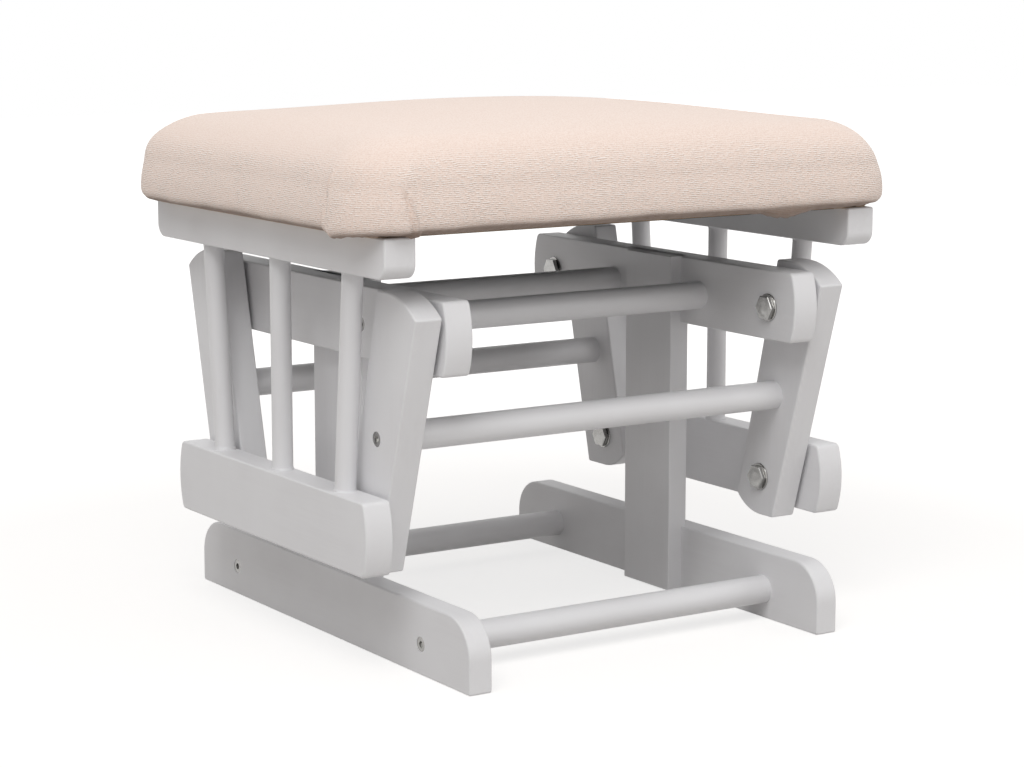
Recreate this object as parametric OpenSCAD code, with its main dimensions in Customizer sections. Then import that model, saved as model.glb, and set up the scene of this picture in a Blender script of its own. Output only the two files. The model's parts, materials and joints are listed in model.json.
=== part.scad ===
// Glider ottoman: a cushioned seat on two spindled sides that swings on four arms
// hung from a fixed frame. Millimetres, +Z up, +X to the right, the front faces -Y.
// The origin is on the floor under the middle of the base rails. Every left-hand
// piece is the mirror image of the right-hand one, which is the side drawn here.

/* [Seat] */
// Width of the cushion, which sets the width of the whole part
cushion_w = 459; // [445:1:475]
// Depth of the cushion
cushion_depth = 364; // [350:1:385]
// Height of the cushion's shoulder above its underside
cushion_side_h = 64.5; // [58:0.5:80]
// Rise of the crown above the shoulder
cushion_crown = 12.5; // [4:0.5:18]
// Corner radius of the cushion seen from above
cushion_corner_r = 42; // [30:1:50]
// Width of the cushion's rounded bottom edge seen from above
cushion_foot_w = 10; // [4:0.5:12]
// Height of the rounded bottom edge
cushion_foot_h = 7; // [3:0.5:10]
// Distance that the cushion's sides lean in on their way up to the shoulder
cushion_lean = 3; // [0:0.5:6]
// Width of the rounded shoulder seen from above
cushion_shoulder_w = 32; // [25:1:42]
// Height of the rounded shoulder
cushion_shoulder_h = 30; // [20:1:40]
// Distance that the sides are drawn in halfway between the corners
cushion_draw = 3; // [0:0.5:5]
// Wall of the cushion round the seat board
cushion_wall = 15; // [14:0.5:18]
// Thickness of the seat board
board_t = 12; // [11:0.5:15]
// Corner radius of the seat board
board_corner_r = 22; // [15:1:30]
// Thickness of the dust cover under the seat board
dust_t = 0.8; // [0.5:0.1:1.5]
// Distance of the dust cover's edges from the seat rails and the board's edges
dust_margin = 4; // [2:0.5:10]
// Distance of the seat's middle behind the middle of the base
seat_y = -3.5; // [-6:0.5:4]

/* [Seat rails and spindles] */
// Distance of a seat rail's outer face inside the cushion's side
side_overhang = 23; // [18:0.5:26]
// Distance of a seat rail's ends inside the cushion's front and rear
end_overhang = 10; // [4:0.5:16]
// Height of a seat rail
seat_rail_h = 28; // [22:0.5:32]
// Thickness of a seat rail
seat_rail_t = 24; // [22:0.5:25]
// Radius of a seat rail's bottom corners
seat_rail_corner_r = 10; // [4:0.5:12]
// Upright distance between a carriage rail's top and a seat rail's bottom
spindle_rise = 153; // [148:1:170]
// Diameter of a spindle
spindle_d = 15; // [12:0.5:16]
// Distance of the outer spindles from the middle one, at the carriage rail's top
spindle_foot_y = 91.5; // [80:0.5:93]
// Distance of the outer spindles from the middle one, at the seat rail's bottom
spindle_head_y = 105; // [98:0.5:112]
// Distance of the middle spindle in front of the seat's middle
spindle_forward = 1.5; // [0:0.5:4]
// Depth of a spindle in the carriage rail
spindle_foot_socket = 10; // [7:0.5:11]
// Depth of a spindle in the seat rail
spindle_head_socket = 12; // [8:0.5:16]
// Distance of the spindles inboard of the seat rail's middle
spindle_head_inset = 1; // [0:0.1:2]
// Distance of the spindles inboard of the carriage rail's middle
spindle_foot_inset = 1.8; // [0.2:0.1:2]
// Diameter of a seat screw's shank
seat_screw_d = 5; // [4:0.5:6]
// Diameter of a seat screw's head
seat_screw_head_d = 9.5; // [8:0.5:11]
// Height of a seat screw's head
seat_screw_head_h = 3; // [2:0.5:4]
// Distance between the two seat screws of a rail
seat_screw_pitch = 100; // [80:1:120]
// Reach of a seat screw into the seat board
seat_screw_reach = 9; // [6:0.5:10]

/* [Carriage rails] */
// Thickness of a carriage rail
carriage_t = 21.3; // [19:0.1:23]
// Height of a carriage rail's top edge above the lower pivots
carriage_over = 27; // [26:0.5:32]
// Distance of a carriage rail's bottom edge below the lower pivots
carriage_under = 25; // [20:0.5:30]
// Distance of a carriage rail's ends beyond the lower pivots
carriage_reach = 39.5; // [30:0.5:50]

/* [Arms and pivots] */
// Height of the upper pivots above the floor
upper_pivot_z = 235; // [228:0.5:242]
// Distance of the upper pivots from the middle of the base
upper_pivot_y = 141.5; // [138:0.5:146]
// Drop from the upper to the lower pivots
pivot_drop = 135; // [130:0.5:138]
// Distance of the lower pivots from the middle of the base
lower_pivot_y = 104; // [101:0.5:108]
// Thickness of an arm
arm_t = 21; // [19:0.5:23]
// Gap between an arm and the rail on each side of it
pivot_gap = 2.9; // [2.5:0.1:5]
// Width of a front arm outboard of its upper pivot
arm_upper_outboard = 26; // [22:0.5:30]
// Width of a rear arm outboard of its upper pivot
rear_arm_upper_outboard = 23; // [20:0.5:30]
// Width of an arm inboard of its upper pivot
arm_upper_inboard = 28.5; // [22:0.5:32]
// Width of a front arm outboard of its lower pivot
arm_lower_outboard = 24; // [21:0.5:28]
// Width of a rear arm outboard of its lower pivot
rear_arm_lower_outboard = 25.5; // [21:0.5:28]
// Width of an arm inboard of its lower pivot
arm_lower_inboard = 23.5; // [21:0.5:28]
// Reach of a front arm above its upper pivot
arm_over = 32; // [30:0.5:36]
// Reach of a front arm below its lower pivot
arm_under = 29.5; // [27:0.5:32]
// Distance that a rear arm sits higher on its pivots than a front arm
rear_arm_rise = 4.5; // [0:0.5:6]
// Radius of the curved corner at an arm's top
arm_top_r = 58; // [48:1:64]
// Height that the curved corner takes off the arm's outboard edge
arm_top_drop = 15; // [10:0.5:16]
// Radius of the curved corner at an arm's bottom
arm_bottom_r = 37; // [30:1:44]
// Height that the curved corner takes off the arm's inboard edge
arm_bottom_drop = 12.5; // [8:0.5:13]

/* [Pivot hardware] */
// Diameter of a pivot bolt's shank
bolt_d = 10; // [8:0.5:11]
// Width across the flats of a bolt head
bolt_head_af = 16.5; // [15:0.5:19]
// Height of a bolt head
bolt_head_h = 3.5; // [3:0.5:7]
// Outer diameter of a washer
washer_d = 22; // [21:0.5:26]
// Thickness of a washer
washer_t = 1.25; // [1:0.25:2.5]
// Outer diameter of the sleeve that turns in a bush
sleeve_d = 16; // [14.5:0.5:17]
// Distance of a sleeve's end from the bottom of the bush's hole
sleeve_end_gap = 1.5; // [1:0.25:3]
// Outer diameter of a bush
bush_d = 26; // [25:0.5:27]
// Diameter of a bush's flange
flange_d = 30; // [29:0.5:34]
// Thickness of a bush's flange
flange_t = 1.5; // [1:0.25:2]
// Thickness of the wood left behind a bush
blind_wall = 4; // [3:0.5:5]
// Radial play of the two rear lower bushes, which take up the swing of the linkage
open_play = 2.6; // [2.6:0.1:2.9]

/* [Upper rails and posts] */
// Thickness of an upper rail
upper_t = 21; // [20.5:0.5:24]
// Height of an upper rail's top edge above the upper pivots
upper_over = 27.5; // [24:0.5:32]
// Distance of an upper rail's bottom edge below the upper pivots
upper_under = 24; // [20:0.5:28]
// Distance of an upper rail's ends beyond the upper pivots
upper_reach = 31; // [24:0.5:40]
// Thickness of a post
post_t = 16.5; // [10:0.5:18]
// Depth to which a post is let into a base rail
post_housing = 4; // [2:0.5:5]
// Width of a post's inner face
post_w = 59; // [50:1:66]
// Distance of the inner face's middle behind the middle of the base
post_y = -4; // [-8:0.5:0]
// Width of the bevel along a post's inner rear edge
post_bevel = 13.5; // [4:0.5:16]
// Height of the floor gap under a post
post_foot_gap = 1; // [0.5:0.5:4]
// Diameter of a dowel between a post and a rail
dowel_d = 8; // [6:0.5:10]
// Depth of a dowel in the post
dowel_in_post = 8; // [6:0.5:9]
// Depth of a dowel in the rail
dowel_in_rail = 11; // [8:0.5:12]
// Distance between the two dowels of a joint
dowel_pitch = 28; // [20:1:34]

/* [Base] */
// Length of a base rail along the floor
base_len = 401; // [380:1:430]
// Height of a base rail
base_h = 51; // [46:1:60]
// Thickness of a base rail
base_t = 18; // [16:0.5:19.5]
// Radius of the two top corners of a base rail
base_corner_r = 28; // [8:1:40]

/* [Cross rods] */
// Diameter of the six cross rods
rod_d = 21; // [16:0.5:22]
// Depth to which a cross rod is let into a rail or an arm
rod_socket = 6; // [3:0.5:8]
// Distance of the base rods from the base rails' ends
base_rod_inset = 61.5; // [50:0.5:90]
// Distance of the base rods behind their middle places on the base rails
base_rod_back = 2.5; // [-4:0.5:4]
// Height of the base rods' centre lines
base_rod_z = 22; // [18:0.5:28]
// Distance of the upper rods from the middle of the base
upper_rod_y = 57; // [54:0.5:80]
// Distance of the front arm rod below the upper pivots
front_arm_rod_drop = 70; // [50:1:95]
// Distance of the rear arm rod below the upper pivots
rear_arm_rod_drop = 66; // [50:1:95]
// Distance of the arm rods inboard of an arm's middle line
arm_rod_inset = 2; // [0:0.5:6]
// Diameter of a cross rod screw's shank
screw_d = 6; // [5:0.5:7]
// Diameter of a cross rod screw's head
screw_head_d = 10.5; // [9:0.5:12]
// Height of a cross rod screw's head
screw_head_h = 3.5; // [2.5:0.5:4]
// Reach of a cross rod screw into the rod
screw_reach = 24; // [15:1:35]
// Width across the flats of the socket in a screw head
socket_af = 4.5; // [3:0.5:5]

/* [Boards] */
// Rise of the bow across a rail's end
end_bow = 5; // [2:0.5:8]
// Corner radius of a bowed end
end_corner_r = 4; // [3:0.5:8]
// Radius of the eased edges
edge_r = 1.5; // [1:0.1:3]

/* [Hidden] */
// Clearances of fixed and running fits, and of the cushion round the board and over the rails
fit_gap = 0.1;
run_gap = 0.05;
bolt_gap = 0.25;
soft_gap = 0.3;
// Depth of a screw head under the wood's face, and of a hole beyond the screw or bolt in it
head_recess = 0.3;
tip_gap = 1;
overrun = 1;
// Fineness of arcs and of the cushion
$fn = 48;
edge_steps = 3;
arc_steps = 8;
corner_steps = 6;
side_steps = 7;
foot_steps = 3;
shoulder_steps = 6;
crown_steps = 6;
// Turn of the shoulder up to the slope at which the crown takes over
shoulder_turn = 80;

// Planes from the cushion's side inwards
seat_rail_out = cushion_w / 2 - side_overhang;
seat_rail_in = seat_rail_out - seat_rail_t;
spindle_x = (seat_rail_out + seat_rail_in) / 2 - spindle_head_inset;
carriage_in = spindle_x + spindle_foot_inset - carriage_t / 2;
arm_out = carriage_in - pivot_gap;
arm_in = arm_out - arm_t;
frame_out = arm_in - pivot_gap;
upper_in = frame_out - upper_t;
base_in = frame_out - base_t;
post_out = base_in + post_housing;
post_in = post_out - post_t;

// Heights from the upper pivots down, and from the lower pivots up
upper_top = upper_pivot_z + upper_over;
upper_bottom = upper_pivot_z - upper_under;
upper_rod_z = upper_pivot_z;
lower_pivot_z = upper_pivot_z - pivot_drop;
carriage_top = lower_pivot_z + carriage_over;
carriage_bottom = lower_pivot_z - carriage_under;
seat_rail_bottom = carriage_top + spindle_rise;
seat_rail_top = seat_rail_bottom + seat_rail_h;
cushion_bottom = seat_rail_top + soft_gap;

// Lengths along the base and the seat
base_rod_ys = [for (end = [-1, 1]) base_rod_back + end * (base_len / 2 - base_rod_inset)];
upper_half_len = upper_pivot_y + upper_reach;
carriage_half_len = lower_pivot_y + carriage_reach;
seat_rail_half_len = cushion_depth / 2 - end_overhang;
board_half_w = cushion_w / 2 - cushion_wall;
board_half_depth = cushion_depth / 2 - cushion_wall;
post_front = post_y - post_w / 2;
post_back = post_y + post_w / 2;

// Screw heads and the sockets in them
head_hole_h = screw_head_h + head_recess;
socket_d = socket_af / cos(30);
spindle_lean = atan((spindle_head_y - spindle_foot_y) / spindle_rise);

// Outlines and building blocks

// Points of an arc about [cx, cy]
function arc(cx, cy, r, from, to, steps) =
    [for (i = [0:steps]) let (a = from + (to - from) * i / steps) [cx + r * cos(a), cy + r * sin(a)]];

// One bowed end of a board, from its bottom corner to its top corner, bulging towards +x
function bowed_end(tip, low, high, bow, r) =
    let (
        half = (high - low) / 2,
        bow_r = (half * half + bow * bow) / (2 * bow),
        turn = asin((half - r) / (bow_r - r)),
        corner_x = tip - bow_r + (bow_r - r) * cos(turn)
    )
    concat(
        arc(corner_x, low + r, r, -90, -turn, edge_steps),
        arc(tip - bow_r, low + half, bow_r, -turn, turn, arc_steps),
        arc(corner_x, high - r, r, turn, 90, edge_steps)
    );

// The piece as drawn for the right-hand side, or its mirror image for the left
module on_side(left) {
    if (left) mirror([1, 0, 0]) children();
    else children();
}

module on_both_sides() {
    on_side(false) children();
    on_side(true) children();
}

// Rectangle whose top and bottom corners have their own radii
module rounded_rect(low, high, top_r, bottom_r) {
    size = high - low;
    intersection() {
        translate(low) square(size);
        union() {
            translate([low[0] + top_r, low[1]]) square([size[0] - 2 * top_r, size[1]]);
            translate([low[0] + bottom_r, low[1]]) square([size[0] - 2 * bottom_r, size[1] - top_r]);
            translate([low[0], low[1] + bottom_r]) square([size[0], size[1] - top_r - bottom_r]);
            for (x = [low[0] + top_r, high[0] - top_r])
                translate([x, high[1] - top_r]) circle(r = top_r);
            for (x = [low[0] + bottom_r, high[0] - bottom_r])
                translate([x, low[1] + bottom_r]) circle(r = bottom_r);
        }
    }
}

// Side view of a rail with both ends bowed, as [y, z]
module bowed_rail(mid_y, half_len, low, high) {
    end = bowed_end(half_len, low, high, end_bow, end_corner_r);
    polygon(concat(
        [for (p = end) [mid_y + p[0], p[1]]],
        [for (i = [len(end) - 1:-1:0]) [mid_y - end[i][0], end[i][1]]]
    ));
}

// Plate with the side view given as children, in [y, z], running from x over a thickness
module side_plate(x, t) {
    translate([x, 0, 0])
        rotate([90, 0, 90])
            linear_extrude(height = t) children();
}

// Side plate with eased edges that fills the box from low to high
module eased_board(low, high) {
    size = high - low;
    intersection() {
        side_plate(low[0], size[0]) children();
        translate([0, high[1] + overrun, 0])
            rotate([90, 0, 0])
                linear_extrude(height = size[1] + 2 * overrun)
                    rounded_rect([low[0], low[2]], [high[0], high[2]], edge_r, edge_r);
        translate([0, 0, low[2] - overrun])
            linear_extrude(height = size[2] + 2 * overrun)
                rounded_rect([low[0], low[1]], [high[0], high[1]], edge_r, edge_r);
    }
}

// Cylinder along X from x0 to x1 at [y, z]
module bar(x0, x1, y, z, d) {
    translate([x0, y, z])
        rotate([0, 90, 0]) cylinder(h = x1 - x0, d = d);
}

// Hexagonal prism along X, with two flats level
module hex_bar(x0, x1, y, z, af) {
    translate([x0, y, z])
        rotate([0, 90, 0])
            rotate(30) cylinder(h = x1 - x0, d = af / cos(30), $fn = 6);
}

// Cross rods: x is the inner face of the board that each end is let into

module cross_rod(x, y, z) {
    end = x + rod_socket;
    color("gainsboro") difference() {
        bar(-end, end, y, z, rod_d);
        on_both_sides() bar(end - screw_reach, end + overrun, y, z, screw_d + 2 * fit_gap);
    }
}

// What a cross rod and its screw take out of a board of thickness t
module rod_holes(x, t, y, z) {
    bar(x - overrun, x + rod_socket, y, z, rod_d + 2 * fit_gap);
    bar(x, x + t, y, z, screw_d + 2 * fit_gap);
    bar(x + t - head_hole_h, x + t + overrun, y, z, screw_head_d + 2 * fit_gap);
}

module rod_screw(x, t, y, z) {
    head = x + t - head_hole_h;
    difference() {
        union() {
            bar(head, head + screw_head_h, y, z, screw_head_d);
            bar(x + rod_socket - screw_reach + tip_gap, head, y, z, screw_d);
        }
        hex_bar(head + screw_head_h / 2, head + screw_head_h + overrun, y, z, socket_af);
    }
}

// Pivots: x is the inner face of the board of thickness t that carries the bolt,
// and the sleeve reaches into a bush in the next board outwards, of thickness next_t

function sleeve_end(x, t, next_t) = x + t + pivot_gap + next_t - blind_wall - sleeve_end_gap;

module pivot_bolt(x, t, next_t, y, z) {
    head = x - washer_t - bolt_head_h;
    intersection() {
        hex_bar(head, x - washer_t, y, z, bolt_head_af);
        translate([head, y, z])
            rotate([0, 90, 0])
                cylinder(h = bolt_head_h, d1 = bolt_head_af, d2 = bolt_head_af + 2 * bolt_head_h);
    }
    bar(head + bolt_head_h / 2, sleeve_end(x, t, next_t) - tip_gap, y, z, bolt_d);
}

module pivot_washer(x, y, z) {
    difference() {
        bar(x - washer_t, x, y, z, washer_d);
        bar(x - washer_t - overrun, x + overrun, y, z, bolt_d + 2 * bolt_gap);
    }
}

module pivot_sleeve(x, t, next_t, y, z) {
    end = sleeve_end(x, t, next_t);
    difference() {
        bar(x + t, end, y, z, sleeve_d);
        bar(x + t - overrun, end + overrun, y, z, bolt_d + 2 * fit_gap);
    }
}

// Flanged bush in the inner face, at x, of a board of thickness t, with play round its sleeve
module pivot_bush(x, t, y, z, play) {
    difference() {
        union() {
            bar(x - flange_t, x, y, z, flange_d);
            bar(x, x + t - blind_wall, y, z, bush_d);
        }
        bar(x - flange_t - overrun, x + t, y, z, sleeve_d + 2 * play);
    }
}

module bush_hole(x, t, y, z) {
    bar(x - overrun, x + t - blind_wall, y, z, bush_d + 2 * fit_gap);
}

module bolt_hole(x, t, y, z) {
    bar(x - overrun, x + t + overrun, y, z, bolt_d + 2 * bolt_gap);
}

// Fixed frame

module base_rail(left) {
    half = base_len / 2;
    color("gainsboro") on_side(left) difference() {
        eased_board([base_in, -half, 0], [frame_out, half, base_h])
            rounded_rect([-half, 0], [half, base_h], base_corner_r, edge_r);
        post_blank(-overrun, base_h + overrun);
        for (y = base_rod_ys)
            rod_holes(base_in, base_t, y, base_rod_z);
        dowels(base_h / 2, fit_gap);
    }
}

module upper_rail(left) {
    half = upper_half_len;
    color("gainsboro") on_side(left) difference() {
        eased_board([upper_in, -half, upper_bottom], [frame_out, half, upper_top])
            bowed_rail(0, half, upper_bottom, upper_top);
        post_blank(0, upper_top + overrun);
        for (y = [-upper_rod_y, upper_rod_y])
            rod_holes(upper_in, upper_t, y, upper_rod_z);
        for (y = [-upper_pivot_y, upper_pivot_y])
            bolt_hole(upper_in, upper_t, y, upper_pivot_z);
        dowels((upper_bottom + upper_top) / 2, fit_gap);
    }
}

// Post without its dowel holes: the bevel runs along its inner rear edge
module post_blank(low, high) {
    translate([0, 0, low])
        linear_extrude(height = high - low)
            polygon([
                [post_in, post_front],
                [post_out, post_front],
                [post_out, post_back + post_bevel],
                [post_in, post_back]
            ]);
}

module post(left) {
    color("gainsboro") on_side(left) difference() {
        post_blank(post_foot_gap, upper_top);
        dowels(base_h / 2, fit_gap);
        dowels((upper_bottom + upper_top) / 2, fit_gap);
    }
}

// The two dowels of a joint, or their holes when a gap is given
module dowels(z, gap) {
    for (y = [post_y - dowel_pitch / 2, post_y + dowel_pitch / 2])
        bar(post_out - dowel_in_post, post_out + dowel_in_rail, y, z, dowel_d + 2 * gap);
}

module post_dowels() {
    color("burlywood")
        on_both_sides()
            for (z = [base_h / 2, (upper_bottom + upper_top) / 2]) dowels(z, 0);
}

module base_rod_screws() {
    color("silver")
        on_both_sides()
            for (y = base_rod_ys) rod_screw(base_in, base_t, y, base_rod_z);
}

module upper_rod_screws() {
    color("silver")
        on_both_sides()
            for (y = [-upper_rod_y, upper_rod_y]) rod_screw(upper_in, upper_t, y, upper_rod_z);
}

module upper_pivot_bolts() {
    color("silver")
        on_both_sides()
            for (y = [-upper_pivot_y, upper_pivot_y])
                pivot_bolt(upper_in, upper_t, arm_t, y, upper_pivot_z);
}

module upper_pivot_washers() {
    color("silver")
        on_both_sides()
            for (y = [-upper_pivot_y, upper_pivot_y]) pivot_washer(upper_in, y, upper_pivot_z);
}

module upper_pivot_sleeves() {
    color("silver")
        on_both_sides()
            for (y = [-upper_pivot_y, upper_pivot_y])
                pivot_sleeve(upper_in, upper_t, arm_t, y, upper_pivot_z);
}

// Arms: end is -1 for the front pair and 1 for the rear pair

// Distances of an arm's long edges and middle line from the middle of the base, at height z
function arm_edge(z, at_upper, at_lower) =
    at_lower + (at_upper - at_lower) * (z - lower_pivot_z) / pivot_drop;
function arm_outer(end, z) =
    let (
        upper = end > 0 ? rear_arm_upper_outboard : arm_upper_outboard,
        lower = end > 0 ? rear_arm_lower_outboard : arm_lower_outboard
    )
    arm_edge(z, upper_pivot_y + upper, lower_pivot_y + lower);
function arm_inner(z) = arm_edge(z, upper_pivot_y - arm_upper_inboard, lower_pivot_y - arm_lower_inboard);
function arm_middle(end, z) = (arm_outer(end, z) + arm_inner(z)) / 2;

// Heights of an arm's ends
function arm_rise(end) = end > 0 ? rear_arm_rise : 0;
function arm_top(end) = upper_pivot_z + arm_over + arm_rise(end);
function arm_bottom(end) = lower_pivot_z - arm_under + arm_rise(end);

// Arc that rounds one end of an arm, from the long edge at 0 to the flat of the end
function nose(r, drop) =
    let (turn = acos(1 - drop / r))
    [for (i = [0:arc_steps])
        let (a = turn * (1 - i / arc_steps))
        [r * sin(turn) - r * sin(a), r * (1 - cos(a))]];

// Outline of a front or rear arm as [distance from the middle of the base, z]
function arm_outline(end) =
    let (
        top = arm_top(end),
        bottom = arm_bottom(end),
        top_corner = arm_outer(end, top - arm_top_drop),
        bottom_corner = arm_inner(bottom + arm_bottom_drop)
    )
    concat(
        [for (p = nose(arm_top_r, arm_top_drop)) [top_corner - p[0], top - p[1]]],
        [[arm_inner(top), top]],
        [for (p = nose(arm_bottom_r, arm_bottom_drop)) [bottom_corner + p[0], bottom + p[1]]],
        [[arm_outer(end, bottom), bottom]]
    );

// The outline drawn in on every edge
function arm_inset(end, inset) =
    let (
        mid_z = (arm_top(end) + arm_bottom(end)) / 2,
        half_h = (arm_top(end) - arm_bottom(end)) / 2,
        half_w = (arm_outer(end, mid_z) - arm_inner(mid_z)) / 2
    )
    [for (p = arm_outline(end))
        let (z = mid_z + (p[1] - mid_z) * (1 - inset / half_h))
        [arm_middle(end, z) + (p[0] - arm_middle(end, p[1])) * (1 - inset / half_w), z]];

module arm(left, end, rod_drop) {
    rod_z = upper_pivot_z - rod_drop;
    color("gainsboro") on_side(left) difference() {
        hull()
            for (a = [for (i = [0:edge_steps]) 90 * i / edge_steps])
                side_plate(arm_in + edge_r * (1 - sin(a)), arm_t - 2 * edge_r * (1 - sin(a)))
                    polygon([for (p = arm_inset(end, edge_r * (1 - cos(a)))) [end * p[0], p[1]]]);
        bush_hole(arm_in, arm_t, end * upper_pivot_y, upper_pivot_z);
        bolt_hole(arm_in, arm_t, end * lower_pivot_y, lower_pivot_z);
        rod_holes(arm_in, arm_t, arm_rod_y(end, rod_z), rod_z);
    }
}

function arm_rod_y(end, z) = end * (arm_middle(end, z) - arm_rod_inset);

module arm_rod(end, rod_drop) {
    rod_z = upper_pivot_z - rod_drop;
    cross_rod(arm_in, arm_rod_y(end, rod_z), rod_z);
}

module arm_rod_screws(end, rod_drop) {
    rod_z = upper_pivot_z - rod_drop;
    color("silver") on_both_sides() rod_screw(arm_in, arm_t, arm_rod_y(end, rod_z), rod_z);
}

module upper_bushes(end) {
    color("ivory") on_both_sides() pivot_bush(arm_in, arm_t, end * upper_pivot_y, upper_pivot_z, run_gap);
}

module lower_bolts(end) {
    color("silver")
        on_both_sides() pivot_bolt(arm_in, arm_t, carriage_t, end * lower_pivot_y, lower_pivot_z);
}

module lower_washers(end) {
    color("silver") on_both_sides() pivot_washer(arm_in, end * lower_pivot_y, lower_pivot_z);
}

module lower_sleeves(end) {
    color("silver")
        on_both_sides() pivot_sleeve(arm_in, arm_t, carriage_t, end * lower_pivot_y, lower_pivot_z);
}

// Seat sides

module carriage_rail(left) {
    front = seat_y - carriage_half_len;
    back = seat_y + carriage_half_len;
    color("gainsboro") on_side(left) difference() {
        eased_board([carriage_in, front, carriage_bottom], [carriage_in + carriage_t, back, carriage_top])
            bowed_rail(seat_y, carriage_half_len, carriage_bottom, carriage_top);
        for (y = [-lower_pivot_y, lower_pivot_y])
            bush_hole(carriage_in, carriage_t, y, lower_pivot_z);
        for (end = [-1, 0, 1])
            spindle_shaft(end, spindle_d + 2 * fit_gap);
    }
}

module carriage_bushes(end, play) {
    color("ivory")
        on_both_sides() pivot_bush(carriage_in, carriage_t, end * lower_pivot_y, lower_pivot_z, play);
}

// Shaft of a spindle with both of its let-in ends; end is -1, 0 or 1 from front to rear
module spindle_shaft(end, d) {
    lean = end * spindle_lean;
    translate([spindle_x, seat_y - spindle_forward + end * spindle_foot_y, carriage_top])
        rotate([-lean, 0, 0])
            translate([0, 0, -spindle_foot_socket])
                cylinder(h = spindle_foot_socket + spindle_rise / cos(lean) + spindle_head_socket, d = d);
}

module spindle(left, end) {
    color("gainsboro") on_side(left) spindle_shaft(end, spindle_d);
}

module seat_rail(left) {
    front = seat_y - seat_rail_half_len;
    back = seat_y + seat_rail_half_len;
    head_top = seat_rail_bottom + head_recess + seat_screw_head_h;
    color("gainsboro") on_side(left) difference() {
        eased_board([seat_rail_in, front, seat_rail_bottom], [seat_rail_out, back, seat_rail_top])
            rounded_rect([front, seat_rail_bottom], [back, seat_rail_top], edge_r, seat_rail_corner_r);
        for (end = [-1, 0, 1])
            spindle_shaft(end, spindle_d + 2 * fit_gap);
        at_seat_screws() {
            upright(seat_rail_bottom, seat_rail_top + overrun, seat_screw_d + 2 * fit_gap);
            upright(seat_rail_bottom - overrun, head_top, seat_screw_head_d + 2 * fit_gap);
        }
    }
}

// Upright cylinder from z0 to z1
module upright(z0, z1, d) {
    translate([0, 0, z0]) cylinder(h = z1 - z0, d = d);
}

// Places of the two seat screws of a rail
module at_seat_screws() {
    for (y = [seat_y - seat_screw_pitch / 2, seat_y + seat_screw_pitch / 2])
        translate([spindle_x, y, 0]) children();
}

module seat_screws() {
    head = seat_rail_bottom + head_recess;
    color("silver") on_both_sides() at_seat_screws() difference() {
        union() {
            upright(head, head + seat_screw_head_h, seat_screw_head_d);
            upright(head + seat_screw_head_h, seat_rail_top + seat_screw_reach, seat_screw_d);
        }
        translate([0, 0, head - overrun])
            cylinder(h = seat_screw_head_h / 2 + overrun, d = socket_d, $fn = 6);
    }
}

// Seat

module seat_board() {
    corner = [board_half_w, board_half_depth];
    screw_top = seat_rail_top + seat_screw_reach + fit_gap;
    color("tan") difference() {
        translate([0, seat_y, seat_rail_top])
            linear_extrude(height = board_t)
                rounded_rect(-corner, corner, board_corner_r, board_corner_r);
        on_both_sides() at_seat_screws()
            upright(seat_rail_top - overrun, screw_top, seat_screw_d + 2 * fit_gap);
    }
}

module dust_cover() {
    corner = [seat_rail_in - dust_margin, board_half_depth - dust_margin];
    color("dimgray")
        translate([0, seat_y, seat_rail_top - dust_t])
            linear_extrude(height = dust_t)
                rounded_rect(-corner, corner, dust_margin, dust_margin);
}

// Plan of the cushion, drawn in by inset all round, with its sides pulled in between the corners
function cushion_plan(inset, r) =
    let (
        half_w = cushion_w / 2 - inset,
        half_d = cushion_depth / 2 - inset,
        corner = arc(half_w - r, half_d - r, r, 0, 90, corner_steps),
        back = [for (i = [1:side_steps]) let (s = i / (side_steps + 1))
            [(half_w - r) * (1 - 2 * s), half_d - cushion_draw * sin(180 * s)]],
        left = [for (i = [1:side_steps]) let (s = i / (side_steps + 1))
            [-half_w + cushion_draw * sin(180 * s), (half_d - r) * (1 - 2 * s)]],
        half = concat(corner, back, [for (i = [corner_steps:-1:0]) [-corner[i][0], corner[i][1]]], left)
    )
    concat(half, [for (p = half) [-p[0], -p[1]]]);

// Rings of the bottom edge, from the underside to the cushion's full width
function foot_rings() =
    [for (i = [0:foot_steps])
        let (a = 90 * i / foot_steps, inset = cushion_foot_w * (1 - sin(a)))
        at_height(cushion_plan(inset, cushion_corner_r - inset), cushion_foot_h * (1 - cos(a)))];

// Rings of the rounded shoulder, the first of them leant in from the full width
function shoulder_rings() =
    [for (i = [0:shoulder_steps])
        let (
            a = shoulder_turn * i / shoulder_steps,
            share = (1 - cos(a)) / (1 - cos(shoulder_turn)),
            inset = cushion_lean + (cushion_shoulder_w - cushion_lean) * share
        )
        at_height(
            cushion_plan(inset, cushion_corner_r - inset / 2),
            cushion_side_h - cushion_shoulder_h * (1 - sin(a))
        )];

// Rings of the crown, which rises from the shoulder's last ring to the middle of the top
function crown_rings(rim) =
    let (
        half_w = rim[0][0],
        half_d = rim[corner_steps][1],
        rise = cushion_side_h + cushion_crown - rim[0][2]
    )
    [for (i = [1:crown_steps - 1])
        let (share = 1 - i / crown_steps)
        [for (p = rim)
            let (u = share * p[0] / half_w, v = share * p[1] / half_d)
            [share * p[0], share * p[1], rim[0][2] + rise * (1 - u * u) * (1 - v * v)]]];

// Rings of the cushion from its bottom edge up over the shoulder to the crown
function cushion_rings() =
    let (shoulder = shoulder_rings())
    concat(foot_rings(), shoulder, crown_rings(shoulder[shoulder_steps]));

function at_height(plan, z) = [for (p = plan) [p[0], p[1], z]];

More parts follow.
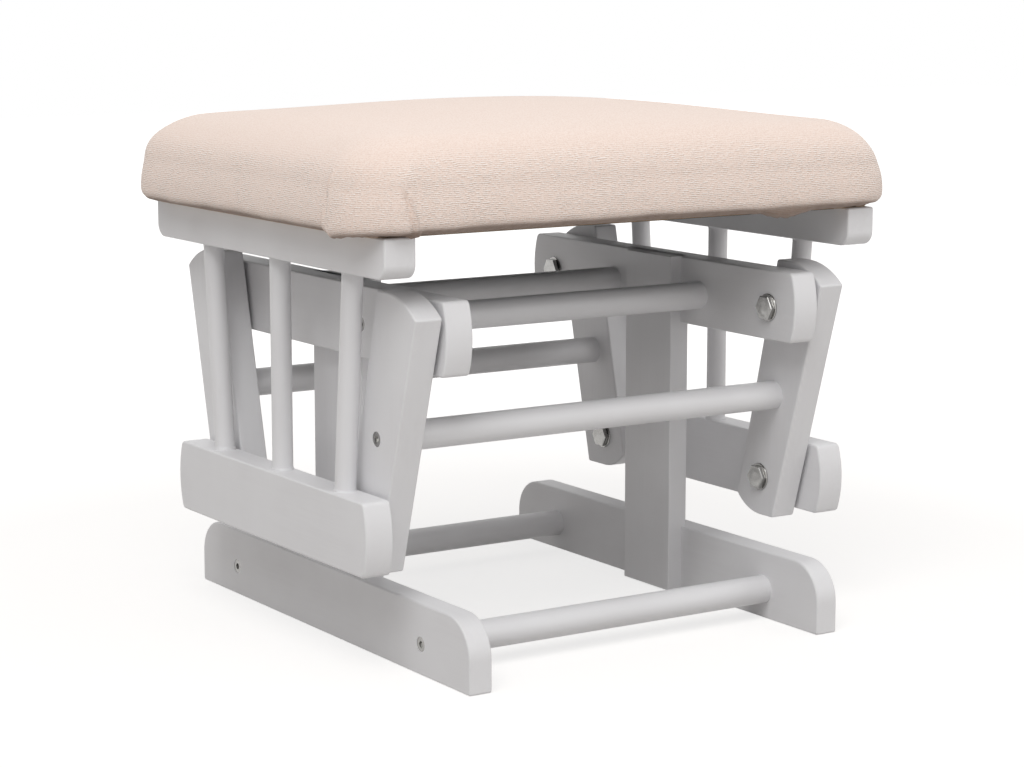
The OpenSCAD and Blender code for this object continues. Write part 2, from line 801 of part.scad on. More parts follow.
module cushion_form() {
    rings = cushion_rings();
    n = len(rings[0]);
    last = len(rings) - 1;
    bottom_point = n * len(rings);
    top_point = bottom_point + 1;
    points = concat(
        [for (ring = rings) each ring],
        [[0, 0, 0], [0, 0, cushion_side_h + cushion_crown]]
    );
    walls = [for (k = [0:last - 1], i = [0:n - 1])
        let (a = k * n + i, b = k * n + (i + 1) % n)
        each [[a, a + n, b + n], [a, b + n, b]]];
    ends = [for (i = [0:n - 1])
        let (j = (i + 1) % n)
        each [[bottom_point, i, j], [top_point, last * n + j, last * n + i]]];
    polyhedron(points = points, faces = concat(walls, ends));
}

module seat_cushion() {
    corner = [board_half_w + soft_gap, board_half_depth + soft_gap];
    color("bisque") difference() {
        translate([0, seat_y, cushion_bottom]) cushion_form();
        translate([0, seat_y, seat_rail_top - overrun])
            linear_extrude(height = overrun + board_t + soft_gap)
                rounded_rect(-corner, corner, board_corner_r, board_corner_r);
    }
}

base_rail(true);  // base_rail_left
base_rail(false);  // base_rail_right
cross_rod(base_in, base_rod_ys[0], base_rod_z);  // base_rod_front
cross_rod(base_in, base_rod_ys[1], base_rod_z);  // base_rod_rear
base_rod_screws();
post(true);  // post_left
post(false);  // post_right
post_dowels();
upper_rail(true);  // upper_rail_left
upper_rail(false);  // upper_rail_right
cross_rod(upper_in, -upper_rod_y, upper_rod_z);  // upper_rod_front
cross_rod(upper_in, upper_rod_y, upper_rod_z);  // upper_rod_rear
upper_rod_screws();
upper_pivot_bolts();
upper_pivot_washers();
upper_pivot_sleeves();
arm(true, -1, front_arm_rod_drop);  // arm_front_left
arm(false, -1, front_arm_rod_drop);  // arm_front_right
arm_rod(-1, front_arm_rod_drop);  // arm_rod_front
arm_rod_screws(-1, front_arm_rod_drop);  // arm_rod_screws_front
upper_bushes(-1);  // upper_bushes_front
lower_bolts(-1);  // lower_bolts_front
lower_washers(-1);  // lower_washers_front
lower_sleeves(-1);  // lower_sleeves_front
arm(true, 1, rear_arm_rod_drop);  // arm_rear_left
arm(false, 1, rear_arm_rod_drop);  // arm_rear_right
arm_rod(1, rear_arm_rod_drop);  // arm_rod_rear
arm_rod_screws(1, rear_arm_rod_drop);  // arm_rod_screws_rear
upper_bushes(1);  // upper_bushes_rear
lower_bolts(1);  // lower_bolts_rear
lower_washers(1);  // lower_washers_rear
lower_sleeves(1);  // lower_sleeves_rear
carriage_rail(true);  // carriage_rail_left
carriage_rail(false);  // carriage_rail_right
carriage_bushes(-1, run_gap);  // carriage_bushes_front
carriage_bushes(1, open_play);  // carriage_bushes_rear
spindle(true, -1);  // spindle_left_front
spindle(true, 0);  // spindle_left_middle
spindle(true, 1);  // spindle_left_rear
spindle(false, -1);  // spindle_right_front
spindle(false, 0);  // spindle_right_middle
spindle(false, 1);  // spindle_right_rear
seat_rail(true);  // seat_rail_left
seat_rail(false);  // seat_rail_right
seat_screws();
seat_board();
dust_cover();
seat_cushion();
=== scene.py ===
"""Glider ottoman: the dressed model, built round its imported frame.

Painted boards are outlines carried along an axis with eased edges, rods and spindles are
turned profiles, and the cushion is a crowned box that a cloth simulation swells before its
cover is folded. Lengths are in metres, apart from the cushion's folds, which say millimetres.
"""

import functools
import json
import logging
import math
from dataclasses import dataclass
from enum import Enum

import bpy
import numpy as np
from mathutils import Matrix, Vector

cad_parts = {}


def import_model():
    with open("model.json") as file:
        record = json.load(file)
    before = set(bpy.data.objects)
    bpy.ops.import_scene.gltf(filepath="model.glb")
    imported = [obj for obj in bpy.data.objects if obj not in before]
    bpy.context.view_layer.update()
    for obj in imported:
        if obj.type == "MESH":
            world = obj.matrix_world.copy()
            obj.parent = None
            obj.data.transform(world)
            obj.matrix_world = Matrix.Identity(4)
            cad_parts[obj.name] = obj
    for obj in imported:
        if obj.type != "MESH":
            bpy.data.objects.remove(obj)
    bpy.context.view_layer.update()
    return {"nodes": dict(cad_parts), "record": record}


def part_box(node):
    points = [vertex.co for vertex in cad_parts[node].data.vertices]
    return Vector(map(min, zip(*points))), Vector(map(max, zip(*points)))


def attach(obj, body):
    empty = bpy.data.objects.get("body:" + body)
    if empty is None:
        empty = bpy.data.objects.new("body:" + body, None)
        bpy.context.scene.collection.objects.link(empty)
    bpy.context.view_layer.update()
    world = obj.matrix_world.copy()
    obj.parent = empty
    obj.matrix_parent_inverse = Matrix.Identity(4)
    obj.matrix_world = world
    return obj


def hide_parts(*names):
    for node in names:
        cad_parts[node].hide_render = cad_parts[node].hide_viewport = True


Points = np.ndarray
Pair = tuple[float, float]
Triple = tuple[float, float, float]
Colour = tuple[float, float, float, float]
Object = bpy.types.Object
Socket = bpy.types.NodeSocket

MM = 0.001
UPPER_PIVOT: Pair = (141.5 * MM, 235 * MM)
LOWER_PIVOT: Pair = (104 * MM, 100 * MM)
LOG = logging.getLogger("glider_ottoman")


class Axis(Enum):
    """Direction that a profile is carried along: the columns that hold along, first and second."""

    X = (0, 1, 2)
    Y = (1, 2, 0)
    Z = (2, 0, 1)


class Side(Enum):
    """Side of the ottoman, as the sign of X."""

    LEFT = -1
    RIGHT = 1


class End(Enum):
    """End of the ottoman, as the sign of Y."""

    FRONT = -1
    REAR = 1


# Outlines


def arc(centre: Pair, radius: float, start: float, stop: float, steps: int) -> Points:
    """Points on a circle: centre + radius * (cos a, sin a), with a running evenly in degrees."""
    a = np.radians(np.linspace(start, stop, steps + 1))
    return np.array(centre) + radius * np.column_stack((np.cos(a), np.sin(a)))


def filleted(corners: Points, radii: Points, steps: int = 6) -> Points:
    """Rounds the corners of a convex outline that runs anticlockwise.

    An arc of radius r starts r * tan(t / 2) before a corner that turns by t, has its centre r to
    the left of the edge, and sweeps from the edge's outward normal by t.

    Args:
        corners: The corners, one row each.
        radii: A radius per corner; zero keeps it sharp.
        steps: The steps in each arc.

    Returns:
        The rounded outline, without repeated points.
    """
    incoming = corners - np.roll(corners, 1, axis=0)
    incoming /= np.linalg.norm(incoming, axis=1, keepdims=True)
    heading = np.arctan2(incoming[:, 1], incoming[:, 0])
    turn = (np.roll(heading, -1) - heading + math.pi) % (2 * math.pi) - math.pi
    inward = np.column_stack((-incoming[:, 1], incoming[:, 0]))
    reach = radii * np.tan(turn / 2)
    centres = corners - incoming * reach[:, None] + inward * radii[:, None]
    sweep = heading[:, None] - math.pi / 2 + turn[:, None] * np.linspace(0, 1, steps + 1)
    points = centres[:, None] + radii[:, None, None] * np.stack((np.cos(sweep), np.sin(sweep)), axis=2)
    points = points.reshape(-1, 2)
    gaps = np.linalg.norm(points - np.roll(points, 1, axis=0), axis=1)
    return points[gaps > 1e-7]


def drawn_in(outline: Points, distances: Points) -> Points:
    """Copies an outline inwards: point - distance * mitred outward normal.

    Args:
        outline: An anticlockwise outline of n points.
        distances: The m distances.

    Returns:
        An array of m by n by 2.
    """
    edges = outline - np.roll(outline, 1, axis=0)
    before = np.column_stack((edges[:, 1], -edges[:, 0])) / np.linalg.norm(edges, axis=1, keepdims=True)
    after = np.roll(before, -1, axis=0)
    mitre = (before + after) / (1 + (before * after).sum(axis=1))[:, None]
    return outline[None] - distances[:, None, None] * mitre[None]


# Meshes


def grid_faces(rows: int, columns: int) -> list[tuple[int, ...]]:
    """Faces of a tube of rings, closed by a flat face at both ends.

    Args:
        rows: The number of rings.
        columns: The points in a ring.

    Returns:
        Tuples of point numbers, facing outwards where rings run anticlockwise about their axis.
    """
    row = np.arange(rows - 1)[:, None] * columns
    here = row + np.arange(columns)
    there = row + (np.arange(columns) + 1) % columns
    quads = np.stack((here, there, there + columns, here + columns), axis=2)
    ends = [tuple(range(columns - 1, -1, -1)), tuple(range((rows - 1) * columns, rows * columns))]
    return [tuple(q) for q in quads.reshape(-1, 4).tolist()] + ends


@dataclass
class Shell:
    """A surface in progress: its points and its faces."""

    points: Points
    faces: list[tuple[int, ...]]

    def mirrored(self) -> "Shell":
        """The mirror image across the plane where X is zero, still facing outwards."""
        return Shell(self.points * (-1, 1, 1), [face[::-1] for face in self.faces])


def together(shells: list[Shell]) -> Shell:
    """Joins several surfaces into one.

    Args:
        shells: The surfaces.

    Returns:
        The joined surface.
    """
    points = np.vstack([shell.points for shell in shells])
    starts = np.cumsum([0] + [len(shell.points) for shell in shells]).tolist()
    faces = [tuple(i + start for i in f) for shell, start in zip(shells, starts) for f in shell.faces]
    return Shell(points, faces)


def stacked(along: Points, rings: Points, axis: Axis) -> Shell:
    """Joins rings into a closed surface.

    Args:
        along: Each ring's place along the axis.
        rings: The other two coordinates, as rings by points by 2.
        axis: The axis.

    Returns:
        The surface.
    """
    points = np.empty((*rings.shape[:2], 3))
    points[:, :, axis.value[0]] = along[:, None]
    points[:, :, list(axis.value[1:])] = rings
    return Shell(points.reshape(-1, 3), grid_faces(*rings.shape[:2]))


def carried(outline: Points, low: float, high: float, ease: float, axis: Axis = Axis.X) -> Shell:
    """Carries an outline along an axis with quarter-round edges at both ends.

    At angle a the outline is drawn in by ease * (1 - cos a), ease * (1 - sin a) inside the end.

    Args:
        outline: The side view, anticlockwise.
        low: Where the piece starts.
        high: Where it ends.
        ease: The edges' radius.
        axis: The direction.

    Returns:
        The closed surface.
    """
    a = np.linspace(math.pi / 2, 0, 6)
    inset = ease * (1 - np.cos(a))
    depth = ease * (1 - np.sin(a))
    along = np.concatenate((low + depth, high - depth[::-1]))
    return stacked(along, drawn_in(outline, np.concatenate((inset, inset[::-1]))), axis)


def turned(profile: Points, centre: Pair, axis: Axis = Axis.X, segments: int = 48,
           flats: int = 0, flat_rows: tuple[int, ...] = ()) -> Shell:
    """Turns a profile about an axis: (along, centre + radius * (cos a, sin a)).

    On flat_rows the radius is divided by the cosine of the angle to the nearest flat's middle,
    which makes the row a polygon of that apothem.

    Args:
        profile: Rows of (along, radius).
        centre: The axis's place in the other two coordinates.
        axis: The direction of the axis.
        segments: The points in a ring.
        flats: The flats of a polygonal row.
        flat_rows: The polygonal rows.

    Returns:
        The closed surface.
    """
    a = np.linspace(0, 2 * math.pi, segments, endpoint=False)
    radius = np.repeat(profile[:, 1:], segments, axis=1)
    if flats:
        step = 2 * math.pi / flats
        radius[list(flat_rows)] /= np.cos(a % step - step / 2)
    rings = np.array(centre) + radius[..., None] * np.column_stack((np.cos(a), np.sin(a)))
    return stacked(profile[:, 0], rings, axis)


def mesh_object(name: str, shell: Shell) -> Object:
    """Makes a linked object at the origin from a surface.

    Args:
        name: Its name.
        shell: The surface.

    Returns:
        The object.
    """
    mesh = bpy.data.meshes.new(name)
    mesh.from_pydata(shell.points.tolist(), [], shell.faces)
    mesh.validate()
    mesh.update()
    piece = bpy.data.objects.new(name, mesh)
    bpy.context.scene.collection.objects.link(piece)
    return piece


def keep_evaluated(piece: Object) -> None:
    """Bakes a piece's modifiers into its mesh.

    Args:
        piece: The piece.
    """
    bpy.context.view_layer.update()
    made = bpy.data.meshes.new_from_object(piece.evaluated_get(bpy.context.evaluated_depsgraph_get()))
    old = piece.data
    piece.modifiers.clear()
    piece.data = made
    made.name = piece.name
    bpy.data.meshes.remove(old)


def drill(piece: Object, cutter: Shell) -> None:
    """Cuts a closed surface out of a piece.

    Args:
        piece: The piece.
        cutter: The surface.
    """
    tool = mesh_object(piece.name + "_cutter", cutter)
    cut = piece.modifiers.new("cut", "BOOLEAN")
    cut.operation = "DIFFERENCE"
    cut.solver = "EXACT"
    cut.object = tool
    keep_evaluated(piece)
    bpy.data.objects.remove(tool)


def vertex_places(piece: Object) -> Points:
    """The places of an object's vertices.

    Args:
        piece: The object.

    Returns:
        An array of n by 3.
    """
    places = np.empty(len(piece.data.vertices) * 3)
    piece.data.vertices.foreach_get("co", places)
    return places.reshape(-1, 3)


# Finishes


class NodeTree:
    """Small helper that adds and links shader nodes."""

    def __init__(self, tree: bpy.types.NodeTree) -> None:
        """Takes the tree that the nodes go into."""
        self.tree = tree

    def add(self, kind: str, settings: dict | None = None, numbered: tuple = (),
            **named: object) -> bpy.types.Node:
        """Adds a node.

        Args:
            kind: The node type without its ShaderNode prefix.
            settings: The node's properties.
            numbered: Values or sockets for its first inputs.
            **named: Values or sockets for inputs by name, with _ for a space.

        Returns:
            The node.
        """
        node = self.tree.nodes.new(kind if kind.startswith("NodeGroup") else "ShaderNode" + kind)
        for key, value in (settings or {}).items():
            setattr(node, key, value)
        for key, value in [*enumerate(numbered), *named.items()]:
            self.feed(node, key.replace("_", " ") if isinstance(key, str) else key, value)
        return node

    def feed(self, node: bpy.types.Node, name: str | int, value: object) -> None:
        """Sets an input to a value, or links a socket to it.

        Args:
            node: The node.
            name: The input's name or number.
            value: The value or socket.
        """
        if isinstance(value, bpy.types.NodeSocket):
            self.tree.links.new(value, node.inputs[name])
        else:
            node.inputs[name].default_value = value

    def maths(self, operation: str, *values: object) -> Socket:
        """A maths node's output for its values or sockets."""
        return self.add("Math", {"operation": operation}, values).outputs[0]

    def times(self, first: object, second: object) -> Socket:
        """The product of two values or sockets."""
        return self.maths("MULTIPLY", first, second)

    def plus(self, first: object, second: object) -> Socket:
        """The sum of two values or sockets."""
        return self.maths("ADD", first, second)

    def mix(self, share: object, first: object, second: object) -> Socket:
        """A colour mix's output.

        Args:
            share: The second colour's share.
            first: The first colour.
            second: The second colour.

        Returns:
            The output socket.
        """
        node = self.add("Mix", {"data_type": "RGBA"})
        for index, value in ((0, share), (6, first), (7, second)):
            self.feed(node, index, value)
        return node.outputs[2]

    def noise(self, vector: object, scale: float, detail: float = 2.0, roughness: float = 0.5) -> Socket:
        """A noise texture's value at a vector."""
        node = self.add("TexNoise", Vector=vector, Scale=scale, Detail=detail, Roughness=roughness)
        return node.outputs["Fac"]

    def stretched(self, vector: object, scale: Triple) -> Socket:
        """A vector multiplied by a scale."""
        return self.add("Mapping", Vector=vector, Scale=scale).outputs[0]

    def remap(self, value: object, *limits: float) -> Socket:
        """A value moved from one range to another, clamped: low, high, new low, new high."""
        return self.add("MapRange", None, (value, *limits)).outputs[0]

    def axes(self, vector: object) -> bpy.types.bpy_prop_collection:
        """A vector's X, Y and Z outputs."""
        return self.add("SeparateXYZ", Vector=vector).outputs


def node_group(name: str, inputs: dict[str, object], outputs: dict[str, str]) -> NodeTree:
    """Starts a shader node group.

    Args:
        name: Its name.
        inputs: Each input's default: a number, a colour, or None for a vector.
        outputs: Each output's socket type without its prefix.

    Returns:
        The helper that fills it.
    """
    group = bpy.data.node_groups.new(name, "ShaderNodeTree")
    kinds = {type(None): "Vector", float: "Float", tuple: "Color"}
    for key, value in inputs.items():
        kind = "NodeSocket" + kinds[type(value)]
        socket = group.interface.new_socket(key, in_out="INPUT", socket_type=kind)
        if value is not None:
            socket.default_value = value
    for key, kind in outputs.items():
        group.interface.new_socket(key, in_out="OUTPUT", socket_type="NodeSocket" + kind)
    return NodeTree(group)


@functools.cache
def paint_film_group() -> bpy.types.NodeTree:
    """Brushed paint over close grain: faint streaks along the board, cloudy gloss, fine orange peel.

    Returns:
        A group with colour, roughness and height outputs.
    """
    nt = node_group(
        "paint_film",
        {"Vector": None, "Grain": None, "Paint": (0.8, 0.8, 0.8, 1.0), "Shade": (0.7, 0.7, 0.7, 1.0),
         "Gloss low": 0.3, "Gloss high": 0.5},
        {"Color": "Color", "Roughness": "Float", "Height": "Float"},
    )
    source = nt.add("NodeGroupInput").outputs
    streaks = nt.noise(source["Grain"], 260.0, 3.0, 0.6)
    clouds = nt.noise(source["Vector"], 22.0)
    peel = nt.noise(source["Vector"], 900.0, 1.0)
    share = nt.times(nt.remap(clouds, 0.35, 0.7, 0.0, 1.0), nt.remap(streaks, 0.3, 0.75, 0.2, 1.0))
    spread = nt.maths("SUBTRACT", source["Gloss high"], source["Gloss low"])
    nt.add(
        "NodeGroupOutput",
        Color=nt.mix(share, source["Paint"], source["Shade"]),
        Roughness=nt.plus(source["Gloss low"], nt.times(spread, clouds)),
        Height=nt.plus(nt.times(streaks, 0.7), nt.times(peel, 0.3)),
    )
    return nt.tree


@functools.cache
def ribbed_weave_group() -> bpy.types.NodeTree:
    """Ribbed slub cloth: level dashes in rows laid by height, which fade out on the top.

    A row's rib and groove follow a sine, which the colour carries as a painted highlight on one
    half of the rib and a painted shadow on the other, over the slub's own paler and darker tone. A
    noise read along each row breaks it into dashes, and a broad noise varies how strongly they show.
    On the top the dashes and their painted light and shade fade out, as bright light washes them out
    there.

    Returns:
        A group with colour and height outputs.
    """
    nt = node_group(
        "ribbed_weave",
        {"Vector": None, "Normal": None, "Ground": (0.8, 0.7, 0.6, 1.0), "Light": (0.9, 0.8, 0.7, 1.0),
         "Dark": (0.5, 0.4, 0.3, 1.0), "Pitch": 0.0013, "Dash": 0.0030, "Contrast": 1.0},
        {"Color": "Color", "Height": "Float"},
    )
    source = nt.add("NodeGroupInput").outputs
    place = nt.axes(source["Vector"])
    top = nt.remap(nt.axes(source["Normal"])["Z"], 0.45, 0.85, 0.0, 1.0)
    along = nt.plus(place["X"], nt.times(place["Y"], nt.maths("SIGN", place["X"])))
    wander = nt.times(nt.noise(source["Vector"], 110.0), 0.0022)
    row = nt.maths("DIVIDE", nt.plus(place["Z"], wander), source["Pitch"])
    stitch = nt.maths("DIVIDE", along, source["Dash"])
    thread = nt.add("CombineXYZ", X=stitch, Y=nt.times(nt.maths("FLOOR", row), 7.31)).outputs[0]
    # rib: which half of each row gets the painted highlight and which the painted shadow
    rib = nt.maths("SINE", nt.times(row, -2 * math.pi))
    broad = nt.remap(nt.noise(source["Vector"], 30.0), 0.35, 0.65, 0.65, 1.0)
    # fades the dashes and their painted rib light and shade out on the top, where bright light washes them
    # out
    strength = nt.times(nt.times(broad, source["Contrast"]), nt.remap(top, 0.0, 1.0, 1.0, 0.0))
    strength = nt.times(strength, nt.remap(nt.noise(thread, 1.0), 0.40, 0.60, 0.05, 1.0))
    nap = nt.remap(nt.noise(source["Vector"], 900.0, 1.0), 0.3, 0.7, -0.22, 0.22)
    stripe = nt.plus(nt.times(rib, strength), nap)
    # painted rib shadow, then painted rib highlight, over the slub's own tone
    shade = nt.mix(nt.remap(stripe, 0.0, -1.0, 0.0, 1.0), source["Ground"], source["Dark"])
    shade = nt.mix(nt.remap(stripe, 0.0, 0.8, 0.0, 1.0), shade, source["Light"])
    nt.add("NodeGroupOutput", Color=shade, Height=nt.remap(stripe, -1.0, 1.0, 0.0, 1.0))
    return nt.tree


def blank_material(name: str) -> tuple[bpy.types.Material, NodeTree, bpy.types.Node]:
    """Makes a material that holds only its main shader and its output.

    Args:
        name: Its name.

    Returns:
        The material, its helper and its main shader.
    """
    material = bpy.data.materials.new(name)
    material.use_nodes = True
    return material, NodeTree(material.node_tree), material.node_tree.nodes["Principled BSDF"]


@dataclass(frozen=True)
class Finish:
    """What every finish shares: its names and the way its material is put together.

    A finish's layers are given by the inputs of the shader that they feed, and Height feeds a
    bump of the relief's strength and distance.
    """

    slot: str = ""
    name: str = ""
    relief: Pair = (0.1, 0.0001)

    def title(self) -> str:
        """The material's name."""
        return self.name

    def layers(self, nt: NodeTree, place: Socket) -> dict[str, object]:
        """The shader's inputs, from the object coordinates."""
        raise NotImplementedError

    def material(self) -> bpy.types.Material:
        """Builds the material.

        Returns:
            The material.
        """
        material, nt, shader = blank_material(self.title())
        layers = self.layers(nt, nt.add("TexCoord").outputs["Object"])
        strength, distance = self.relief
        grain = nt.add("Bump", Strength=strength, Distance=distance, Height=layers.pop("Height"))
        layers["Normal"] = grain.outputs[0]
        for name, value in layers.items():
            nt.feed(shader, name, value)
        return material


@dataclass(frozen=True)
class Paint(Finish):
    """Satin white paint on hardwood, with its faint grain along one axis."""

    slot: str = "painted_wood"
    name: str = "satin_paint"
    relief: Pair = (0.12, 0.0002)
    grain: Axis = Axis.Y
    paint: Colour = (0.80, 0.80, 0.815, 1.0)
    shade: Colour = (0.765, 0.76, 0.775, 1.0)
    gloss: Pair = (0.34, 0.5)
    streak: float = 0.05

    def title(self) -> str:
        """The material's name, with its grain's axis."""
        return f"{self.name}_{self.grain.name.lower()}"

    def layers(self, nt: NodeTree, place: Socket) -> dict[str, object]:
        """The paint's film, read with its coordinates squeezed along the grain.

        Args:
            nt: The material's helper.
            place: The object coordinates.

        Returns:
            The shader's inputs by name.
        """
        squeeze = [1.0, 1.0, 1.0]
        squeeze[self.grain.value[0]] = self.streak
        film = nt.add("Group", {"node_tree": paint_film_group()}, Vector=place,
                      Grain=nt.stretched(place, tuple(squeeze)), Paint=self.paint, Shade=self.shade,
                      Gloss_low=self.gloss[0], Gloss_high=self.gloss[1])
        return dict(zip(("Base Color", "Roughness", "Height"), film.outputs))


@dataclass(frozen=True)
class Chenille(Finish):
    """Cream ribbed cloth with level flecks, painted highlight and shadow on its ribs, a soft sheen and
    painted shade along its hem.
    """

    slot: str = "cushion_fabric"
    name: str = "cream_chenille"
    relief: Pair = (0.5, 0.0005)
    ground: Colour = (0.895, 0.76, 0.685, 1.0)
    # pale flecks, and the painted highlight on each rib
    light: Colour = (1.0, 0.96, 0.93, 1.0)
    # darker flecks, and the painted shadow on each rib
    dark: Colour = (0.62, 0.48, 0.40, 1.0)
    # painted shade under the hem and on the underside
    hem: Colour = (0.26, 0.18, 0.14, 1.0)
    hem_shadow_share: float = 0.85

    def layers(self, nt: NodeTree, place: Socket) -> dict[str, object]:
        """The weave, with painted shade that darkens it towards the hem and on the underside.

        Args:
            nt: The material's helper.
            place: The object coordinates.

        Returns:
            The shader's inputs by name.
        """
        normal = nt.add("NewGeometry").outputs["Normal"]
        weave = nt.add("Group", {"node_tree": ribbed_weave_group()}, Vector=place, Normal=normal,
                       Ground=self.ground, Light=self.light, Dark=self.dark)
        # painted shade under the hem, masked by the hem attribute
        hem = nt.times(nt.add("Attribute", {"attribute_name": "hem"}).outputs["Fac"], self.hem_shadow_share)
        return {"Base Color": nt.mix(hem, weave.outputs["Color"], self.hem), "Roughness": 0.88,
                "Diffuse Roughness": 0.5, "Specular IOR Level": 0.2, "Sheen Weight": 0.12,
                "Sheen Roughness": 0.5, "Height": weave.outputs["Height"]}


@dataclass(frozen=True)
class Zinc(Finish):
    """Bright zinc plate with faint handling marks."""

    slot: str = "zinc_plate"
    name: str = "bright_zinc"
    relief: Pair = (0.08, 0.0001)
    bright: Colour = (0.40, 0.395, 0.385, 1.0)
    dull: Colour = (0.33, 0.325, 0.315, 1.0)

    def layers(self, nt: NodeTree, place: Socket) -> dict[str, object]:
        """Clouds in the plate, under fine scratches.

        Args:
            nt: The material's helper.
            place: The object coordinates.

        Returns:
            The shader's inputs by name.
        """
        clouds = nt.noise(place, 180.0, 3.0, 0.6)
        return {"Base Color": nt.mix(nt.remap(clouds, 0.35, 0.7, 0.0, 1.0), self.bright, self.dull),
                "Roughness": nt.remap(clouds, 0.3, 0.75, 0.18, 0.30), "Metallic": 1.0,
                "Height": nt.noise(nt.stretched(place, (1.0, 0.08, 1.0)), 2500.0)}


@dataclass(frozen=True)
class Nylon(Finish):
    """Matt off-white bush plastic."""

    slot: str = "bush_nylon"
    name: str = "bush_nylon"

    def layers(self, nt: NodeTree, place: Socket) -> dict[str, object]:
        """Faint clouds and a moulded grain.

        Args:
            nt: The material's helper.
            place: The object coordinates.

        Returns:
            The shader's inputs by name.
        """
        clouds = nt.noise(place, 300.0)
        return {"Base Color": nt.mix(clouds, (0.66, 0.64, 0.58, 1.0), (0.74, 0.72, 0.67, 1.0)),
                "Roughness": nt.remap(clouds, 0.3, 0.7, 0.45, 0.6), "Height": nt.noise(place, 1500.0)}


@dataclass(frozen=True)
class BareWood(Finish):
    """Unpainted wood: plies seen on edge in a board, or plain grain in a dowel."""

    slot: str = "plywood"
    name: str = "plywood"
    relief: Pair = (0.25, 0.0003)
    ply_pitch: float = 0.003
    pale: Colour = (0.62, 0.44, 0.27, 1.0)
    deep: Colour = (0.42, 0.27, 0.15, 1.0)

    def layers(self, nt: NodeTree, place: Socket) -> dict[str, object]:
        """Long grain, and a band for every second ply.

        Args:
            nt: The material's helper.
            place: The object coordinates.

        Returns:
            The shader's inputs by name.
        """
        grain = nt.noise(nt.stretched(place, (1.0, 0.06, 1.0)), 240.0, 4.0, 0.6)
        plies = nt.maths("FRACT", nt.maths("DIVIDE", nt.axes(place)["Z"], 2 * self.ply_pitch))
        banded = nt.plus(nt.remap(plies, 0.47, 0.53, 0.0, 0.35), nt.times(grain, 0.65))
        return {"Base Color": nt.mix(banded, self.pale, self.deep),
                "Roughness": nt.remap(grain, 0.3, 0.7, 0.6, 0.8), "Height": grain}


@dataclass(frozen=True)
class DustCloth(Finish):
    """Black non-woven cloth with its pressed dot pattern."""

    slot: str = "dust_fabric"
    name: str = "dust_cloth"
    relief: Pair = (0.4, 0.0003)

    def layers(self, nt: NodeTree, place: Socket) -> dict[str, object]:
        """Fibres between pressed dots.

        Args:
            nt: The material's helper.
            place: The object coordinates.

        Returns:
            The shader's inputs by name.
        """
        dots = nt.add("TexVoronoi", Vector=place, Scale=700.0, Randomness=0.15).outputs["Distance"]
        fibres = nt.noise(place, 1200.0, 3.0, 0.7)
        return {"Base Color": nt.mix(fibres, (0.012, 0.012, 0.013, 1.0), (0.045, 0.045, 0.048, 1.0)),
                "Roughness": 0.9,
                "Height": nt.plus(nt.remap(dots, 0.1, 0.4, 0.0, 1.0), nt.times(fibres, 0.4))}


NODE_FINISHES = (
    Zinc(), Nylon(), BareWood(), BareWood(slot="bare_wood", name="bare_wood", ply_pitch=1.0), DustCloth(),
    Paint(), Chenille(),
)


@functools.cache
def material_of(finish: Finish) -> bpy.types.Material:
    """A finish's material, built the first time it is asked for."""
    return finish.material()


def dress(piece: Object, finish: Finish) -> None:
    """Gives a piece or a CAD node one finish.

    Args:
        piece: The object.
        finish: The finish.
    """
    slots = piece.data.materials
    for index in range(len(slots)):
        slots[index] = material_of(finish)
    if len(slots) == 0:
        slots.append(material_of(finish))


def fit(piece: Object, body: str, finish: Finish, node: str, sharp_deg: float = 40) -> None:
    """Shades and dresses a piece, and fits it to its body and its CAD node.

    Args:
        piece: The piece.
        body: The body that carries it.
        finish: Its finish.
        node: The CAD node that it stands for.
        sharp_deg: Edges that bend by more stay crisp; zero for cloth.
    """
    piece.data.polygons.foreach_set("use_smooth", np.ones(len(piece.data.polygons), dtype=bool))
    if sharp_deg:
        piece.data.set_sharp_from_angle(angle=math.radians(sharp_deg))
        piece.modifiers.new("flats", "WEIGHTED_NORMAL").keep_sharp = True
    dress(piece, finish)
    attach(piece, body)
    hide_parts(node)
    LOG.info("%s rides on %s as %s: %d faces", piece.name, body, finish.slot, len(piece.data.polygons))


def node_box(node: str) -> tuple[Points, Points]:
    """Lowest and highest corner of a CAD node, as arrays."""
    low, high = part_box(node)
    return np.array(low), np.array(high)


# Wooden pieces


